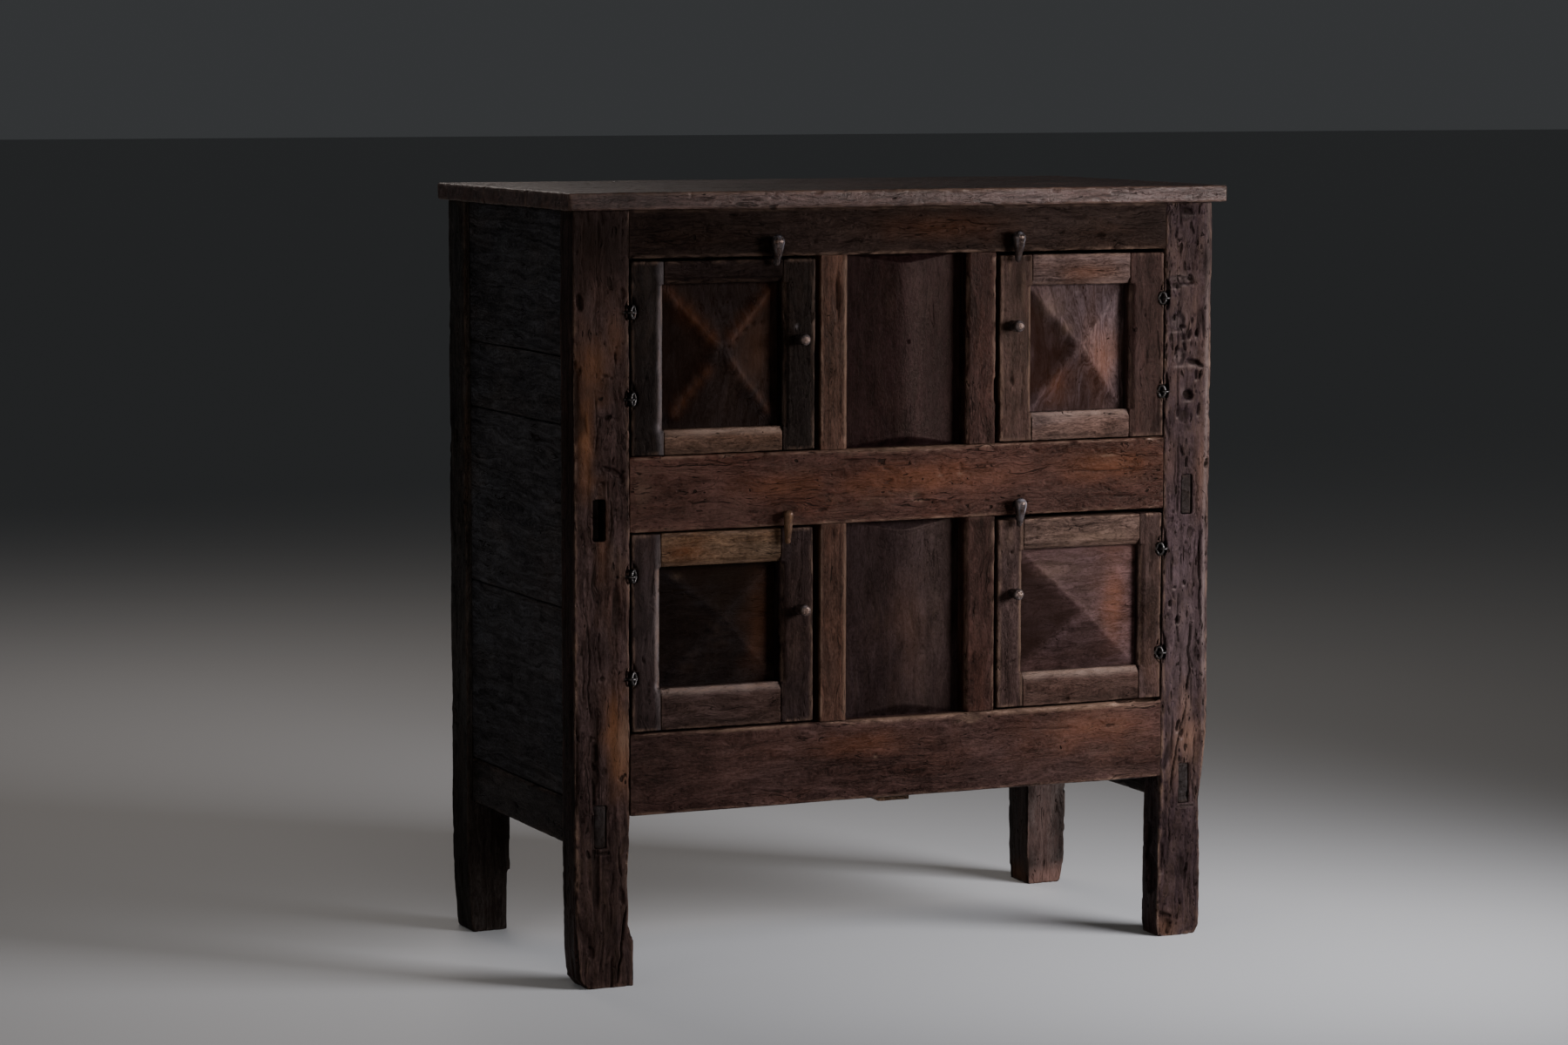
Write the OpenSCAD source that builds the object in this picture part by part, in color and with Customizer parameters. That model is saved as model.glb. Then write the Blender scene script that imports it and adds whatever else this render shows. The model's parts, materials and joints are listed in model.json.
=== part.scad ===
// Low cupboard of framed and pegged hardwood: four rough-hewn corner posts, three front rails,
// four muntins, two fielded centre panels and four small doors with pointed panels.
// Millimetres. Z is up. Inside the modules Y = 0 is the front face of the frame and +Y runs to the
// back; the whole model is then moved so that the origin is on the floor, in the middle of its
// bounding box.

/* [Overall] */
// Width over the outer faces of the posts
carcass_w = 992; // [980:1:1010]
// Depth over the outer faces of the posts
carcass_d = 500; // [480:1:540]
// Thickness of the three boards of the top
top_t = 24; // [18:1:30]
// How far the top passes the posts at each end
top_over_side = 13; // [8:1:20]
// How far the top passes the front of the frame
top_over_front = 20; // [12:1:23]
// How far the top passes the back posts
top_over_back = 10; // [4:1:20]

/* [Posts] */
// Width of the front left post, seen from the front
post_fl_w = 82; // [80:1:86]
// Width of the front right post, seen from the front
post_fr_w = 75; // [72:1:80]
// Thickness of the front posts, front to back
post_f_d = 50; // [46:1:56]
// Width of the back posts
post_b_w = 68; // [64:1:72]
// Thickness of the back posts, front to back
post_b_d = 65; // [60:1:70]

/* [Front frame] */
// Thickness of the front rails and muntins
rail_t = 42; // [40:1:45]
// Underside of the top rail, above the floor
top_rail_z = 1008; // [1006:1:1012]
// Depth of the edges of the two centre panels behind the frame's face
field_depth = 24; // [24:1:28]
// How far the ridge of a centre panel stands out from its edges
field_rise = 15; // [8:1:20]
// Height of the slope at the top and at the bottom of a centre panel
field_hip = 22; // [14:1:34]

/* [Doors] */
// Thickness of the door frames
door_t = 36; // [35:1:38]
// Width of the worn bevel round each door panel
bevel_w = 9; // [4:1:9]
// Depth of that bevel
bevel_d = 6; // [3:1:6]
// How far each pointed panel rises from its edges to its point
point_rise = 14; // [8:1:14]

/* [Ironwork] */
// Radius of the hinge wire
wire_r = 1.6; // [1.3:0.1:1.8]
// Distance of the hinge axis in front of the frame's face
hinge_out = 3; // [2.5:0.5:4]

/* [Turn buttons] */
// Radius of the round shank that turns in the rail
shank_r = 4; // [3.5:0.1:4.5]
// How far the middle of a button's head stands out from the frame
button_out = 13; // [12:0.5:15]

/* [Hidden] */
$fn = 48;
e = 0.05;                       // room round a fixed pin
run = 0.08;                     // room round a turning shank
joint_gap = 0.6;                // open joint between neighbouring boards
hw = carcass_w / 2;
post_top = 1075;
knob_out = 24;
y_shift = -(carcass_d + top_over_back - knob_out) / 2;

fl_in = -hw + post_fl_w;        // inner edge of the front left post
fr_in = hw - post_fr_w;         // inner edge of the front right post
b_in = hw - post_b_w;           // inner faces of the back posts, at +x and -x
by0 = carcass_d - post_b_d;     // front faces of the back posts

mid_z0 = 632; mid_z1 = 736;     // middle rail
bot_z0 = 238; bot_z1 = 352;     // bottom rail
ml0 = -127; ml1 = -84;          // left muntins
mr0 = 100;  mr1 = 147;          // right muntins

ten_y0 = 10; ten_y1 = 22;       // tenons of the front frame, between these depths
ten_len = 28;
groove_t = 7; tongue = 8;

side_z0 = 196; side_z1 = 260;   // bottom side rails
bear_z0 = 622; bear_z1 = 680;   // shelf bearers
sr_in = 450; sr_out = 468;      // through tenons of side rails and bearers, |x|
sb_in = 468; sb_out = 486;      // side boards, |x|
side_joints = [260, 523, 777, 872, 1075];
back_y0 = 470; back_y1 = 486;   // back boards
back_rail_y0 = 462; back_rail_y1 = 490;
back_top_z = 1010;
back_joints = [260, 470, 668, 846, 1010];
floor_t = 20; shelf_t = 18;
top_joints = [-top_over_front, 146, 313, carcass_d + top_over_back];

// Each door: x0, x1, z0, z1, hinged on the left (1) or right (-1), hinge stile, lock stile,
// top rail, bottom rail, depth of the panel's edges, hinge heights, knob x and z,
// turn button x and z, length from pivot to tip and radius of its head
UL = [-411, -135, 738, 1004,  1, 48, 49, 32, 34, 22, [816, 935], [-159, 892], [-198, 1029, 34, 9.6]];
UR = [ 153,  418, 738, 1003, -1, 56, 52, 44, 40, 20, [802, 937], [ 174, 903], [ 176, 1029, 36, 9.4]];
LL = [-411, -137, 355,  629,  1, 43, 50, 47, 58, 24, [430, 572], [-158, 514], [-181,  649, 41, 6.8]];
LR = [ 152,  418, 355,  626, -1, 36, 41, 45, 49, 15, [421, 573], [ 176, 520], [ 181,  649, 33, 9]];

wood = "#5a3a28"; dark = "#3d2c24"; pale = "#86633f"; iron = "#4b4744";

// ---- helpers ----
module block(x0, x1, y0, y1, z0, z1) translate([x0, y0, z0]) cube([x1 - x0, y1 - y0, z1 - z0]);
module xy_prism(pts, z0, z1) translate([0, 0, z0]) linear_extrude(z1 - z0) polygon(pts);
module xz_prism(pts, y0, y1) translate([0, y1, 0]) rotate([90, 0, 0]) linear_extrude(y1 - y0) polygon(pts);
module yz_prism(pts, x0, x1) translate([x0, 0, 0]) rotate([90, 0, 90]) linear_extrude(x1 - x0) polygon(pts);
module pin_y(x, z, r, y0, y1) translate([x, y1, z]) rotate([90, 0, 0]) cylinder(r = r, h = y1 - y0);
module place() translate([0, y_shift, 0]) children();

function hinge_x(d) = d[4] > 0 ? d[0] - 1.5 : d[1] + 1.5;

// ---- hinges: two linked eyes on one upright axis ----
// Local frame: the axis is Z; the door lies towards +X, the post towards -X, the back is +Y.
eye_in = 3.2; eye_out = 6.2; link = (eye_in + eye_out) / 2;
door_dir = 35; post_dir = 145;
post_spike = 46; door_spike = 33;
module eye_ring() rotate_extrude() translate([eye_in, -1.5]) square([eye_out - eye_in, 3]);
module post_eye() {
  eye_ring();
  rotate([0, 0, post_dir]) translate([link, 0, 0]) rotate([0, 90, 0]) cylinder(r = wire_r, h = post_spike - link);
}
module door_eye() rotate([0, 0, door_dir]) {
  translate([link, 0, 0]) rotate([90, 0, 0]) eye_ring();
  translate([2 * link, 0, 0]) rotate([0, 90, 0]) cylinder(r = wire_r, h = door_spike - 2 * link);
}
// What a hinge takes out of the post, and out of the door's stile
module post_cut() {
  translate([0, 0, -9]) cylinder(r = 7.2, h = 18);
  rotate([0, 0, post_dir]) rotate([0, 90, 0]) cylinder(r = wire_r + e, h = post_spike + 0.2);
}
module door_cut() {
  translate([0, 0, -9]) cylinder(r = 11.6, h = 18);
  rotate([0, 0, door_dir]) rotate([0, 90, 0]) cylinder(r = wire_r + e, h = door_spike + 0.2);
}
module at_hinges(d) for (z = d[10]) translate([hinge_x(d), -hinge_out, z])
  if (d[4] > 0) children(); else mirror([1, 0, 0]) children();

// ---- carcass ----
// Outlines of the front posts seen from the front, with the wear of the feet
fl_outline = [[-478, 0], [-410, 0], [-410, 62], [-417, 88], [-419, 150], [fl_in, 226], [fl_in, post_top],
              [-hw, post_top], [-hw, 150], [-hw + 2, 60], [-490, 14]];
fr_outline = [[421, 0], [479, 0], [487, 14], [488, 120], [484, 200], [hw, 300], [hw, post_top],
              [fr_in, post_top], [fr_in, 232], [419, 140], [418, 20]];
bl_outline = [[-hw + 8, 0], [-b_in - 5, 0], [-b_in - 4, 88], [-b_in, 90], [-b_in, post_top], [-hw, post_top], [-hw, 90]];
br_outline = [[b_in + 3, 0], [hw - 9, 0], [hw - 2, 40], [hw, 120], [hw, post_top], [b_in, post_top], [b_in, 60]];

module front_mortises(x0, x1) {
  block(x0, x1, ten_y0, ten_y1, top_rail_z + 10, post_top - 10);
  block(x0, x1, ten_y0, ten_y1, mid_z0 + 16, mid_z1 - 18);
  block(x0, x1, ten_y0, ten_y1, bot_z0 + 28, bot_z1 - 16);
}
module post_front_left() place() color(wood) difference() {
  xz_prism(fl_outline, 0, post_f_d);
  front_mortises(fl_in - ten_len, fl_in + 1);
  block(-sr_out, -sr_in, -1, post_f_d + 1, side_z0, side_z1 - 4);
  block(-sr_out, -sr_in, -1, post_f_d + 1, bear_z0, bear_z1);
  block(-sb_out, -sb_in, post_f_d - tongue, post_f_d + 1, side_z1, post_top + 1);
  at_hinges(UL) post_cut();
  at_hinges(LL) post_cut();
}
module post_front_right() place() color(wood) difference() {
  xz_prism(fr_outline, 0, post_f_d);
  front_mortises(fr_in - 1, fr_in + ten_len);
  block(sr_in, sr_out, -1, post_f_d + 1, side_z0, side_z1 - 4);
  block(sr_in, sr_out, -1, post_f_d + 1, bear_z0, bear_z1);
  block(sb_in, sb_out, post_f_d - tongue, post_f_d + 1, side_z1, post_top + 1);
  at_hinges(UR) post_cut();
  at_hinges(LR) post_cut();
}
module back_post(outline, s) difference() {
  xz_prism(outline, by0, carcass_d);
  mirror([s < 0 ? 1 : 0, 0, 0]) {
    block(sr_in, sr_out, by0 - 1, by0 + 40, side_z0, side_z1 - 4);
    block(sr_in, sr_out, by0 - 1, by0 + 40, bear_z0, bear_z1);
    block(sb_in, sb_out, by0 - 1, by0 + tongue, side_z1, post_top + 1);
    block(b_in - 1, b_in + tongue, back_y0, back_y1, side_z1, back_top_z);
    block(b_in - 1, b_in + 20, back_rail_y0 + 8, back_rail_y1 - 8, side_z0 + 10, side_z1 - 8);
    block(b_in - 1, b_in + 20, back_rail_y0 + 8, back_rail_y1 - 8, back_top_z + 8, post_top - 10);
  }
}
module post_back_left() place() color(dark) back_post(bl_outline, -1);
module post_back_right() place() color(dark) back_post(br_outline, 1);

// A front rail with a stub tenon at each end
module front_rail(z0, z1, t0, t1) union() {
  block(fl_in, fr_in, 0, rail_t, z0, z1);
  block(fl_in - ten_len, fl_in + 1, ten_y0, ten_y1, t0, t1);
  block(fr_in - 1, fr_in + ten_len, ten_y0, ten_y1, t0, t1);
}
// Mortises for the muntins and the groove for a centre panel, in a rail's edge at z going up or down
module rail_edge(z, up) {
  d = up ? 1 : -1;
  for (m = [[ml0, ml1], [mr0, mr1]]) translate([0, 0, z])
    block(m[0] + 8, m[1] - 8, ten_y0, ten_y1, min(0, -d * 22) - (up ? 0 : 1), max(0, -d * 22) + (up ? 1 : 0));
  translate([0, 0, z]) block(ml1 - tongue, mr0 + tongue, field_depth, field_depth + groove_t,
    min(0, -d * tongue) - (up ? 0 : 1), max(0, -d * tongue) + (up ? 1 : 0));
}
module front_rail_top() place() color(wood) difference() {
  front_rail(top_rail_z, post_top, top_rail_z + 10, post_top - 10);
  rail_edge(top_rail_z, false);
  for (d = [UL, UR]) pin_y(d[12][0], d[12][1], shank_r + run, -1, rail_t + 1);
}
module front_rail_middle() place() color(wood) difference() {
  front_rail(mid_z0, mid_z1, mid_z0 + 16, mid_z1 - 18);
  rail_edge(mid_z1, true);
  rail_edge(mid_z0, false);
  for (d = [LL, LR]) pin_y(d[12][0], d[12][1], shank_r + run, -1, rail_t + 1);
}
module front_rail_bottom() place() color(wood) difference() {
  front_rail(bot_z0, bot_z1, bot_z0 + 28, bot_z1 - 16);
  rail_edge(bot_z1, true);
  block(-20, 24, rail_t - 12, rail_t + 1, bot_z0 + 4, side_z1 - 4);
}
// side: +1 if the panel's groove is on the muntin's right edge
module muntin(x0, x1, z0, z1, side) difference() {
  union() {
    block(x0, x1, 0, rail_t, z0, z1);
    block(x0 + 8, x1 - 8, ten_y0, ten_y1, z0 - 22, z1 + 22);
    // lip that stops the door when it is shut
    block(side > 0 ? x0 - 13 : x1 - 1, side > 0 ? x0 + 1 : x1 + 11, door_t + 1, rail_t, z0, z1);
  }
  gx = side > 0 ? x1 : x0;
  block(gx - (side > 0 ? tongue : 1), gx + (side > 0 ? 1 : tongue), field_depth, field_depth + groove_t, z0 - 1, z1 + 1);
  xy_prism(side > 0 ? [[gx - 5, -1], [gx + 1, -1], [gx + 1, 6], [gx, 5], [gx - 5, 0]]
                    : [[gx + 5, -1], [gx - 1, -1], [gx - 1, 6], [gx, 5], [gx + 5, 0]], z0, z1);
}
module muntin_upper_left() place() color(wood) muntin(ml0, ml1, mid_z1, top_rail_z, 1);
module muntin_upper_right() place() color(wood) muntin(mr0, mr1, mid_z1, top_rail_z, -1);
module muntin_lower_left() place() color(wood) muntin(ml0, ml1, bot_z1, mid_z0, 1);
module muntin_lower_right() place() color(wood) muntin(mr0, mr1, bot_z1, mid_z0, -1);

// A panel whose front rises to a point or ridge: x and z ranges of the sight, edge depth, rise,
// and the run of the slopes from each edge
module raised(x0, x1, z0, z1, d, rise, xr, zr) union() {
  block(x0 - tongue, x1 + tongue, d, d + groove_t, z0 - tongue, z1 + tongue);
  intersection() {
    xy_prism([[x0, d + 2], [x0, d], [x0 + xr, d - rise], [x1 - xr, d - rise], [x1, d], [x1, d + 2]], z0, z1);
    yz_prism([[d + 2, z0], [d, z0], [d - rise, z0 + zr], [d - rise, z1 - zr], [d, z1], [d + 2, z1]], x0, x1);
  }
}
module centre_panel_upper() place() color(wood)
  raised(ml1, mr0, mid_z1, top_rail_z, field_depth, field_rise, (mr0 - ml1) / 2 - 0.5, field_hip);
module centre_panel_lower() place() color(wood)
  raised(ml1, mr0, bot_z1, mid_z0, field_depth, field_rise, (mr0 - ml1) / 2 - 0.5, field_hip);

// Bottom side rail, drawn on the right; its front tenon shows in the post's face
module side_rail() union() {
  block(448, 488, post_f_d, by0, side_z0, side_z1);
  block(sr_in, sr_out, 0.8, post_f_d + 1, side_z0, side_z1 - 4);
  block(sr_in, sr_out, by0 - 1, by0 + 40, side_z0, side_z1 - 4);
}
module side_rail_right() place() color(dark) side_rail();
module side_rail_left() place() color(dark) mirror([1, 0, 0]) side_rail();
// Shelf bearer, drawn on the right; short is how far its tenon stops behind the post's face
module bearer(short) union() {
  block(440, sr_out, post_f_d, by0, bear_z0, bear_z1);
  block(sr_in, sr_out, short, post_f_d + 1, bear_z0, bear_z1);
  block(sr_in, sr_out, by0 - 1, by0 + 40, bear_z0, bear_z1);
}
module shelf_bearers() place() color(dark) {
  bearer(1.5);
  mirror([1, 0, 0]) bearer(22);
}
module side_boards() for (i = [0 : len(side_joints) - 2])
  block(sb_in, sb_out, post_f_d - tongue, by0 + tongue, side_joints[i] + (i > 0 ? joint_gap / 2 : 0),
        side_joints[i + 1] - (i < len(side_joints) - 2 ? joint_gap / 2 : 0));
module side_boards_right() place() color(dark) side_boards();
module side_boards_left() place() color(dark) mirror([1, 0, 0]) side_boards();

module back_rail(z0, z1, t0, t1) difference() {
  union() {
    block(-b_in, b_in, back_rail_y0, back_rail_y1, z0, z1);
    block(-b_in - 20, b_in + 20, back_rail_y0 + 8, back_rail_y1 - 8, t0, t1);
  }
  block(-20, 24, back_rail_y0 - 1, back_rail_y0 + 12, bot_z0 + 4, side_z1 - 4);
}
module back_rails() place() color(dark) {
  back_rail(side_z0, side_z1, side_z0 + 10, side_z1 - 8);
  back_rail(back_top_z, post_top, back_top_z + 8, post_top - 10);
}
module back_boards() place() color(dark) for (i = [0 : len(back_joints) - 2])
  block(-b_in - tongue, b_in + tongue, back_y0, back_y1, back_joints[i] + (i > 0 ? joint_gap / 2 : 0),
        back_joints[i + 1] - (i < len(back_joints) - 2 ? joint_gap / 2 : 0));

// Three boards side by side from front to back, notched round the posts
module inner_boards(z0, z1, xe) {
  ys = [rail_t, 178, 322, back_y0];
  for (i = [0 : 2]) difference() {
    block(-xe, xe, ys[i] + (i > 0 ? joint_gap / 2 : 0), ys[i + 1] - (i < 2 ? joint_gap / 2 : 0.4), z0, z1);
    if (i == 0) {
      block(-hw, fl_in, 0, post_f_d, z0 - 1, z1 + 1);
      block(fr_in, hw, 0, post_f_d, z0 - 1, z1 + 1);
    }
    if (i == 2) {
      block(-hw, -b_in, by0, carcass_d, z0 - 1, z1 + 1);
      block(b_in, hw, by0, carcass_d, z0 - 1, z1 + 1);
    }
  }
}
module floor_boards() place() color(dark) inner_boards(side_z1, side_z1 + floor_t, 467);
module shelf_boards() place() color(dark) inner_boards(bear_z1, bear_z1 + shelf_t, 467);
module floor_bearer() place() color(dark) union() {
  xz_prism([[-30, side_z1], [-30, 236], [-14, 224], [35, 224], [35, side_z1]], rail_t, back_rail_y0);
  block(-20, 24, rail_t - 12, back_rail_y0 + 12, bot_z0 + 4, side_z1 - 4);
}

// ---- top ----
function nail_spots() = concat([for (x = [-455, 458]) [x, 25]], [for (x = [-250, 10, 262]) [x, 20]],
  [for (x = [-477, 477]) for (y = [212, 262, 396]) [x, y]], [for (x = [-462, 462]) [x, 452]], [for (x = [-240, 250]) [x, 476]]);
module top_board(i, inset) difference() {
  block(-hw - top_over_side, hw + top_over_side - inset, top_joints[i] + (i > 0 ? joint_gap / 2 : 0),
        top_joints[i + 1] - (i < 2 ? joint_gap / 2 : 0), post_top, post_top + top_t);
  for (s = nail_spots()) if (s[1] > top_joints[i] && s[1] < top_joints[i + 1]) translate([s[0], s[1], post_top - 1]) {
    cylinder(r = 2.05, h = top_t + 2);
    translate([0, 0, top_t + 1 - 3]) cylinder(r = 6.1, h = 4);
  }
}
module top_board_front() place() color(wood) top_board(0, 0);
module top_board_middle() place() color(wood) top_board(1, 0);
module top_board_back() place() color(wood) top_board(2, 0);

// ---- iron nails, set a little below the face of the top ----
module top_nail() {
  translate([0, 0, post_top + 0.2]) cylinder(r = 2, h = top_t - 2);
  translate([0, 0, post_top + top_t - 2.8]) cylinder(r1 = 5.2, r2 = 6, h = 2.5);
}
module forged_nails() place() color(iron)
  for (s = nail_spots()) translate([s[0], s[1], 0]) top_nail();
module hinge_eyes_on_posts() place() color(iron) for (d = [UL, UR, LL, LR]) at_hinges(d) post_eye();

// ---- turn buttons: bent wooden pegs, a round shank in the rail and a finger that hangs from it ----
module turn_button(d) translate([d[12][0], 0, d[12][1]]) union() {
  pin_y(0, 0, shank_r, -button_out, rail_t - 1);
  hull() {
    translate([0, -button_out, 0]) sphere(r = d[12][3], $fn = 24);
    translate([0, 1.2 - button_out, -d[12][2] * 0.42]) sphere(r = 0.76 * d[12][3], $fn = 20);
    translate([0, 3.5 - button_out, 4 - d[12][2]]) sphere(r = 4, $fn = 20);
  }
}
module turn_button_upper_left() place() color(wood) turn_button(UL);
module turn_button_upper_right() place() color(wood) turn_button(UR);
module turn_button_lower_left() place() color(pale) turn_button(LL);
module turn_button_lower_right() place() color(dark) turn_button(LR);

// ---- doors ----
function ty(d) = d[9] >= 18 ? [7, 17] : [24, 33];          // tenon depths
function sx0(d) = d[4] > 0 ? d[0] + d[5] : d[0] + d[6];    // sight of the panel
function sx1(d) = d[4] > 0 ? d[1] - d[6] : d[1] - d[5];
function sz0(d) = d[2] + d[8];
function sz1(d) = d[3] - d[7];
function tt(d) = [[d[3] - d[7] + 11, d[3] - 6], [d[2] + 6, d[2] + d[8] - 11]];  // tenon heights, top and bottom

// A stile from xa to xb; g is +1 if its inner edge is at xb, -1 if at xa
module stile(d, xa, xb, g) {
  xi = g > 0 ? xb : xa;
  difference() {
    block(xa, xb, 0, door_t, d[2], d[3]);
    for (t = tt(d)) block(min(xi, xi - g * 30) - (g < 0 ? 1 : 0), max(xi, xi - g * 30) + (g > 0 ? 1 : 0),
                          ty(d)[0], ty(d)[1], t[0], t[1]);
    block(min(xi, xi - g * tongue) - (g < 0 ? 1 : 0), max(xi, xi - g * tongue) + (g > 0 ? 1 : 0),
          d[9], d[9] + groove_t, sz0(d) - tongue, sz1(d) + tongue);
    xy_prism([[xi - g * bevel_w, -1], [xi + g, -1], [xi + g, bevel_d], [xi, bevel_d], [xi - g * bevel_w, 0]],
             sz0(d), sz1(d));
  }
}
module hinge_stile(d) difference() {
  if (d[4] > 0) stile(d, d[0], d[0] + d[5], 1); else stile(d, d[1] - d[5], d[1], -1);
  at_hinges(d) door_cut();
}
module lock_stile(d) difference() {
  if (d[4] > 0) stile(d, d[1] - d[6], d[1], -1); else stile(d, d[0], d[0] + d[6], 1);
  pin_y(d[11][0], d[11][1], 4 + e, -1, door_t + 1);
}
module door_rail(d, top) {
  z0 = top ? sz1(d) : d[2];
  z1 = top ? d[3] : sz0(d);
  zi = top ? z0 : z1;
  g = top ? 1 : -1;
  t = tt(d)[top ? 0 : 1];
  difference() {
    union() {
      block(sx0(d), sx1(d), 0, door_t, z0, z1);
      block(sx0(d) - 30, sx1(d) + 30, ty(d)[0], ty(d)[1], t[0], t[1]);
    }
    block(sx0(d) - 1, sx1(d) + 1, d[9], d[9] + groove_t, min(zi - 1, zi + g * tongue), max(zi + 1, zi + g * tongue));
    yz_prism([[-1, zi + g * bevel_w], [-1, zi - g], [bevel_d, zi - g], [bevel_d, zi], [0, zi + g * bevel_w]],
             sx0(d), sx1(d));
  }
}
module door_panel(d) {
  w = sx1(d) - sx0(d); h = sz1(d) - sz0(d);
  raised(sx0(d), sx1(d), sz0(d), sz1(d), d[9], min(point_rise, d[9] - 2), w / 2 - 0.5, h / 2 - 0.5);
}
module knob(d) translate([d[11][0], 0, d[11][1]]) rotate([90, 0, 0]) union() {
  translate([0, 0, -door_t + 2]) cylinder(r = 4, h = door_t);
  rotate_extrude() polygon([[0, 0], [7.4, 0], [7, 3], [7.1, 8], [7.8, 12], [8.3, 15], [8.2, 19], [7, 22], [4.5, 23.5], [0, knob_out]]);
}
module door_hinge_eyes(d) at_hinges(d) door_eye();

module door_upper_left_hinge_stile() place() color(dark) hinge_stile(UL);
module door_upper_left_lock_stile() place() color(dark) lock_stile(UL);
module door_upper_left_top_rail() place() color(dark) door_rail(UL, true);
module door_upper_left_bottom_rail() place() color(pale) door_rail(UL, false);
module door_upper_left_panel() place() color(wood) door_panel(UL);
module door_upper_left_knob() place() color(dark) knob(UL);
module door_upper_left_hinge_eyes() place() color(iron) door_hinge_eyes(UL);
module door_upper_right_hinge_stile() place() color(wood) hinge_stile(UR);
module door_upper_right_lock_stile() place() color(wood) lock_stile(UR);
module door_upper_right_top_rail() place() color(wood) door_rail(UR, true);
module door_upper_right_bottom_rail() place() color(wood) door_rail(UR, false);
module door_upper_right_panel() place() color(wood) door_panel(UR);
module door_upper_right_knob() place() color(dark) knob(UR);
module door_upper_right_hinge_eyes() place() color(iron) door_hinge_eyes(UR);
module door_lower_left_hinge_stile() place() color(wood) hinge_stile(LL);
module door_lower_left_lock_stile() place() color(wood) lock_stile(LL);
module door_lower_left_top_rail() place() color(pale) door_rail(LL, true);
module door_lower_left_bottom_rail() place() color(wood) door_rail(LL, false);
module door_lower_left_panel() place() color(dark) door_panel(LL);
module door_lower_left_knob() place() color(dark) knob(LL);
module door_lower_left_hinge_eyes() place() color(iron) door_hinge_eyes(LL);
module door_lower_right_hinge_stile() place() color(wood) hinge_stile(LR);
module door_lower_right_lock_stile() place() color(wood) lock_stile(LR);
module door_lower_right_top_rail() place() color(pale) door_rail(LR, true);
module door_lower_right_bottom_rail() place() color(wood) door_rail(LR, false);
module door_lower_right_panel() place() color(wood) door_panel(LR);
module door_lower_right_knob() place() color(dark) knob(LR);
module door_lower_right_hinge_eyes() place() color(iron) door_hinge_eyes(LR);

post_front_left();
post_front_right();
post_back_left();
post_back_right();
front_rail_top();
front_rail_middle();
front_rail_bottom();
muntin_upper_left();
muntin_upper_right();
muntin_lower_left();
muntin_lower_right();
centre_panel_upper();
centre_panel_lower();
side_rail_left();
side_rail_right();
shelf_bearers();
side_boards_left();
side_boards_right();
back_rails();
back_boards();
floor_boards();
floor_bearer();
shelf_boards();
top_board_front();
top_board_middle();
top_board_back();
forged_nails();
hinge_eyes_on_posts();
turn_button_upper_left();
turn_button_upper_right();
turn_button_lower_left();
turn_button_lower_right();
door_upper_left_hinge_stile();
door_upper_left_lock_stile();
door_upper_left_top_rail();
door_upper_left_bottom_rail();
door_upper_left_panel();
door_upper_left_knob();
door_upper_left_hinge_eyes();
door_upper_right_hinge_stile();
door_upper_right_lock_stile();
door_upper_right_top_rail();
door_upper_right_bottom_rail();
door_upper_right_panel();
door_upper_right_knob();
door_upper_right_hinge_eyes();
door_lower_left_hinge_stile();
door_lower_left_lock_stile();
door_lower_left_top_rail();
door_lower_left_bottom_rail();
door_lower_left_panel();
door_lower_left_knob();
door_lower_left_hinge_eyes();
door_lower_right_hinge_stile();
door_lower_right_lock_stile();
door_lower_right_top_rail();
door_lower_right_bottom_rail();
door_lower_right_panel();
door_lower_right_knob();
door_lower_right_hinge_eyes();
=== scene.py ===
import bpy, bmesh, json, math
import numpy as np
from mathutils import Vector, Matrix


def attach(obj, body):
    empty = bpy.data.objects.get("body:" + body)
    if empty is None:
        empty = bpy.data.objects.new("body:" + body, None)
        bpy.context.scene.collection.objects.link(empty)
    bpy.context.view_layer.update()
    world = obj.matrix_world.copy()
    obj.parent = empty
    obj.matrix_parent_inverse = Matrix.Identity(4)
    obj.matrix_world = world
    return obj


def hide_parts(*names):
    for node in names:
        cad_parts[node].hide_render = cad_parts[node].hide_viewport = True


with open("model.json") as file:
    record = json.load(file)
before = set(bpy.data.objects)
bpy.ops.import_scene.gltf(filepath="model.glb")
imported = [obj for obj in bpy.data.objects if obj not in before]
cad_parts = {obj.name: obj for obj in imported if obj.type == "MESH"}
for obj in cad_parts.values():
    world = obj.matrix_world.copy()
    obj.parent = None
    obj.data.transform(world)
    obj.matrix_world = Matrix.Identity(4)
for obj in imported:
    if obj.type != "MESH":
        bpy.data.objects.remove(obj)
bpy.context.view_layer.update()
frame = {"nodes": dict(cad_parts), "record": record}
NODES = frame["nodes"]
BODY = {n: b for b, ns in frame["record"]["behaviour"]["bodies"].items() for n in ns}
YS = -0.243          # the plane of the frame's front face, in the row frame
scene = bpy.context.scene
col = scene.collection

# ------------------------------------------------------------------ noise on points
def _h(ix, iy, iz, seed):
    n = (ix * 73856093) ^ (iy * 19349663) ^ (iz * 83492791) ^ (seed * 2654435761 & 0x7fffffff)
    n = n & 0xffffffff
    n = ((n ^ (n >> 16)) * 0x45d9f3b) & 0xffffffff
    n = ((n ^ (n >> 16)) * 0x45d9f3b) & 0xffffffff
    n = n ^ (n >> 16)
    return n.astype(np.float64) / 4294967295.0


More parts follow.
